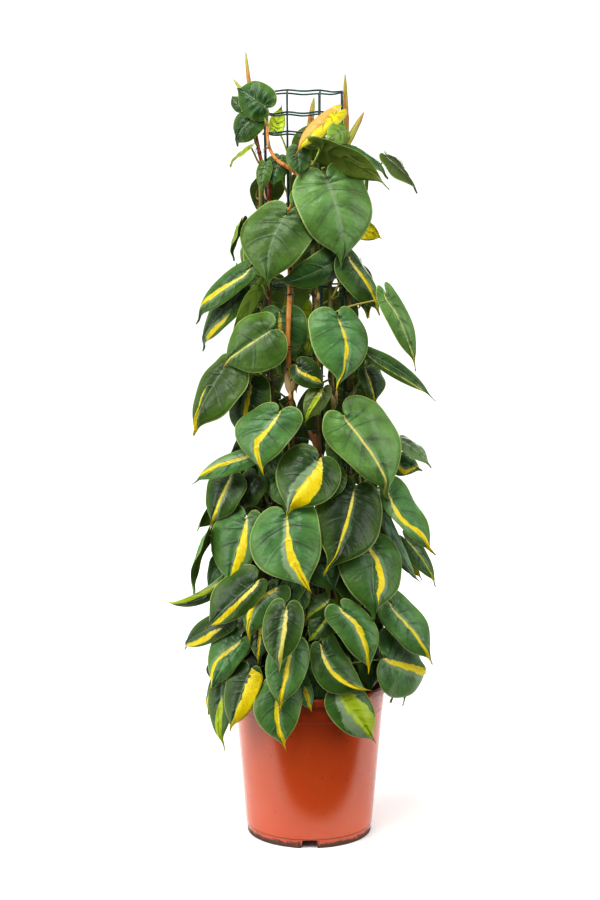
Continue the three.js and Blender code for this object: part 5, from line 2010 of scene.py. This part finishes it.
    def tone_of(self, blade: Blade) -> Points:
        """Ground colour of a blade: the row's own, or a seeded draw where the picture has none."""
        random = np.random.default_rng(sum(map(ord, blade.name)) + 31)
        if blade.leaf is not None:
            tone, shade = blade.leaf.tone, blade.leaf.shade
        else:
            shade = random.uniform(0.8, 1.2)
            tone = (Tone.DARK, Tone.DEEP, Tone.DEEP, Tone.DEEP, Tone.MID, Tone.MID)[random.integers(6)]
        # A row's shade figure is partly the leaf's own tone and partly painted light and shade
        colour = np.array(linear(tone.value)) * shade
        # Painted shade: a lower figure also takes away blue, as shaded leaves look yellower
        colour[2:] = colour[2] * shade**0.5, 1
        return colour

    def extra_blades(self) -> list[Blade]:
        """Fill the sides and back with further leaves, and the column's foot with dark inner ones,
        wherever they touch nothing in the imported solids.

        Returns:
            Blades with their stalks.
        """
        trees = [solid_tree(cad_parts[name]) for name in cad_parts]
        placed: list[BVHTree] = []
        found = []
        taken: list[Points] = []
        for blade in further_blades():
            if shows_wrongly(blade) or len(found) == self.further:
                continue
            for shift in FURTHER_SHIFTS:
                blade.shift = shift
                tree = blade_tree(blade)
                if not any(tree.overlap(other) for other in (*trees, *placed)):
                    break
            else:
                continue
            stalk = self.free_stalk(blade, [*trees, *placed], taken)
            if stalk is None:
                continue
            blade.stalk = stalk
            taken.append(stalk[0])
            placed.append(tree)
            found.append(blade)
        LOG.info("further leaves: %d", len(found))
        return found

    def free_stalk(self, blade: Blade, trees: list[BVHTree], taken: list[Points]) -> Curve | None:
        """Find a stalk that gets from a stem to a blade clear of all solids.

        Args:
            blade: the blade.
            trees: what stands already.
            taken: nodes that carry a stalk.

        Returns:
            The curve's control points, or None.
        """
        ideal = blade.base - np.array([0, 0, 30])
        roots = np.concatenate([vine.nodes() for vine in VINES]) + np.array([0, 0, 11.0])
        order = np.argsort(np.linalg.norm(roots - ideal, axis=1))[:10]
        for root in roots[order]:
            if any(np.linalg.norm(root - other) < 5 for other in taken):
                continue
            for swing in SWINGS:
                curve = stalk_curve(blade, root, swing)
                path = bezier(*curve, np.linspace(0.14, 0.93, 6))
                vertices, quads = tube_patch(path, np.full(6, STALK_RADIUS), 4)
                tree = BVHTree.FromPolygons(vertices.tolist(), quads.tolist())
                if not any(tree.overlap(other) for other in trees):
                    return curve
        return None

    def build(self) -> None:
        """Settle every leaf, then build each vine's blades, its stem with all it carries, and the
        further leaves."""
        settler = Settler()
        blades = [*front_blades(), *back_blades()]
        for blade in blades:
            settler.settle(blade)
            if blade.leaf is not None:
                blade.base = blade.base + unit(np.array(VIEW.eye) - blade.base) * blade.leaf.ahead
                blade.width *= blade.leaf.narrow
        leaf_material = BladeFinish().material()
        stem_material = STEM_SKIN.material()
        for vine in VINES:
            leaves, stems = Skin(), Skin()
            self.stem_patch(vine, stems)
            for spear in SPEARS:
                if spear.vine == vine.name:
                    self.spear_patch(spear, stems)
            self.root_patches(vine, stems)
            for growth in GROWTHS:
                if growth.vine == vine.name:
                    self.growth_patch(growth, vine, stems)
            for blade in blades:
                if blade.vine == vine.name:
                    self.blade_patch(blade, self.tone_of(blade), leaves)
                    self.stalk_patch(blade, stems)
            stem = stems.build(f"{vine.name}_stem", stem_material)
            merge_poles(stem, 0.00002)
            finish_piece(stem, "foliage", vine.name)
            finish_piece(leaves.build(f"{vine.name}_leaves", leaf_material), "foliage", vine.name)
        self.build_further(leaf_material, stem_material)

    def build_further(self, leaf_material: bpy.types.Material, stem_material: bpy.types.Material) -> None:
        """Build the leaves of the sides, back and foot on a coarser grid, with their stalks.

        Args:
            leaf_material: the blades' material.
            stem_material: the stalks' material.
        """
        leaves, stems = Skin(), Skin()
        coarser = replace(self, rows=34, columns=5)
        for blade in self.extra_blades():
            coarser.blade_patch(blade, self.tone_of(blade), leaves)
            self.stalk_patch(blade, stems)
        finish_piece(leaves.build("further_leaves", leaf_material), "foliage")
        stem = stems.build("further_stalks", stem_material)
        merge_poles(stem, 0.00002)
        finish_piece(stem, "foliage")


def solid_tree(obj: bpy.types.Object) -> BVHTree:
    """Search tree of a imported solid, in millimetres.

    Args:
        obj: the solid.

    Returns:
        The tree.
    """
    corners = np.empty(len(obj.data.vertices) * 3, dtype=np.float32)
    obj.data.vertices.foreach_get("co", corners)
    faces = [list(face.vertices) for face in obj.data.polygons]
    return BVHTree.FromPolygons((corners.reshape(-1, 3) / MM).tolist(), faces)


def blade_tree(blade: Blade) -> BVHTree:
    """Search tree of a blade's plain outline, 3 mm thick.

    Args:
        blade: the blade.

    Returns:
        The tree.
    """
    u = np.array([[-0.12, 0, 0.32, 0.65, 0.95]]).T
    half = np.array([[0.2, 0.43, 0.5, 0.37, 0.06]]).T
    v = half * np.linspace(-1, 1, 5)
    u = np.broadcast_to(u, v.shape)
    sheets = [blade.point(u, v, lift).reshape(-1, 3) for lift in (1.5, -1.5)]
    quads = np.concatenate([grid_quads(5, 5), grid_quads(5, 5) + 25])
    return BVHTree.FromPolygons(np.concatenate(sheets).tolist(), quads.tolist())


# Studio

PLANT_MIDDLE = (0.0, 0.0, 0.65)


@dataclass(frozen=True)
class Studio:
    """A plain pale floor that fades into a white sky, plain soft lamps and the picture's camera.

    The floor also ends a little in front of the pot, along a slightly slanted line, and the world
    below the horizon is dark to all but the camera. So the glossy pot mirrors a dark U between
    its lit sides, as it does in the picture, while the camera sees white on both sides of the line.

    Attributes:
        lens: focal length in millimetres.
        paper: the floor's colour.
        sky_light: strength of the sky above the horizon.
        fade: distances in metres between which the floor fades away.
        front: the same before the pot, measured along ahead.
        ahead: direction across the slanted line.
        dark: strength of the world below the horizon.
    """

    lens: float = 74.68
    paper: str = "f6f6f4"
    sky_light: float = 0.5
    fade: tuple[float, float] = (1.4, 3.6)
    front: tuple[float, float] = (-0.21, -0.17)
    ahead: Place = (-0.26, 1.0, 0.0)
    dark: float = 0.06

    def build(self) -> None:
        """Set the floor, the lamps, the sky and the camera."""
        scene = bpy.context.scene
        mesh = bpy.data.meshes.new("studio_floor")
        mesh.from_pydata([(-40, -40, 0), (40, -40, 0), (40, 40, 0), (-40, 40, 0)], [], [(0, 1, 2, 3)])
        floor = bpy.data.objects.new("studio_floor", mesh)
        scene.collection.objects.link(floor)
        paper, shader, node = new_material("studio_paper")
        coords = node("TexCoord", out="Object")
        far = node("VectorMath", coords, operation="LENGTH", out="Value")
        ahead = node("VectorMath", coords, self.ahead, operation="DOT_PRODUCT", out="Value")
        ahead = node("MapRange", ahead, *self.front)
        alpha = node("Math", node("MapRange", far, *self.fade, 1.0, 0.0), ahead, operation="MULTIPLY")
        feed(shader, {"Base Color": linear(self.paper), "Roughness": 0.9, "Alpha": alpha})
        mesh.materials.append(paper)
        self.lamp("lamp_left", (-2.7, -1.1, 1.35), 1.6, 2.5, 62)
        self.lamp("lamp_right", (2.7, -1.1, 1.3), 1.6, 2.6, 50)
        self.lamp("lamp_above", (-0.7, -1.5, 3.0), 1.8, 1.8, 76)
        self.lamp("lamp_back", (0.3, 2.9, 1.6), 2.4, 2.2, 56)
        world = bpy.data.worlds.new("studio_sky")
        world.use_nodes = True
        node = partial(add_node, world.node_tree)
        upward = node("SeparateXYZ", node("TexCoord", out="Generated"), out="Z")
        room = node("MapRange", upward, -0.12, 0.05, self.dark, self.sky_light)
        strength = node("MapRange", node("LightPath", out="Is Camera Ray"), 0.0, 1.0, room, 1.0)
        sky = world.node_tree.nodes["Background"]
        feed(sky, {"Color": linear("ffffff"), "Strength": strength})
        scene.world = world
        scene.view_settings.view_transform = "Standard"
        scene.view_settings.look = "Medium High Contrast"
        camera = bpy.data.cameras.new("camera")
        camera.lens = self.lens
        camera.clip_end = 100
        holder = bpy.data.objects.new("camera", camera)
        holder.location = [c * MM for c in VIEW.eye]
        holder.rotation_euler = (math.pi / 2 - VIEW.tilt, 0, 0)
        scene.collection.objects.link(holder)
        scene.camera = holder

    def lamp(self, name: str, place: Place, wide: float, high: float, power: float) -> None:
        """Hang one soft lamp that looks at the plant's middle.

        Args:
            name: the lamp's name.
            place: where it hangs.
            wide: its width.
            high: its height.
            power: its power in watts.
        """
        light = bpy.data.lights.new(name, "AREA")
        light.shape, light.size, light.size_y, light.energy = "RECTANGLE", wide, high, power
        lamp = bpy.data.objects.new(name, light)
        lamp.location = place
        towards = Vector(PLANT_MIDDLE) - Vector(place)
        lamp.rotation_euler = towards.to_track_quat("-Z", "Y").to_euler()
        bpy.context.scene.collection.objects.link(lamp)


def main() -> None:
    """Build the studio and every piece of the plant in order."""
    Studio().build()
    pot = Pot()
    pot.build()
    Soil().build(pot)
    Netting().build()
    tie_skin = TIE_COAT.material()
    for index, (name, height) in enumerate(TIES, start=1):
        vine = next(one for one in VINES if one.name == name)
        Tie(index, vine, height).build(tie_skin)
    Foliage().build()


if __name__ == "__main__":
    logging.basicConfig(level=logging.INFO, format="%(name)s: %(message)s")
    main()
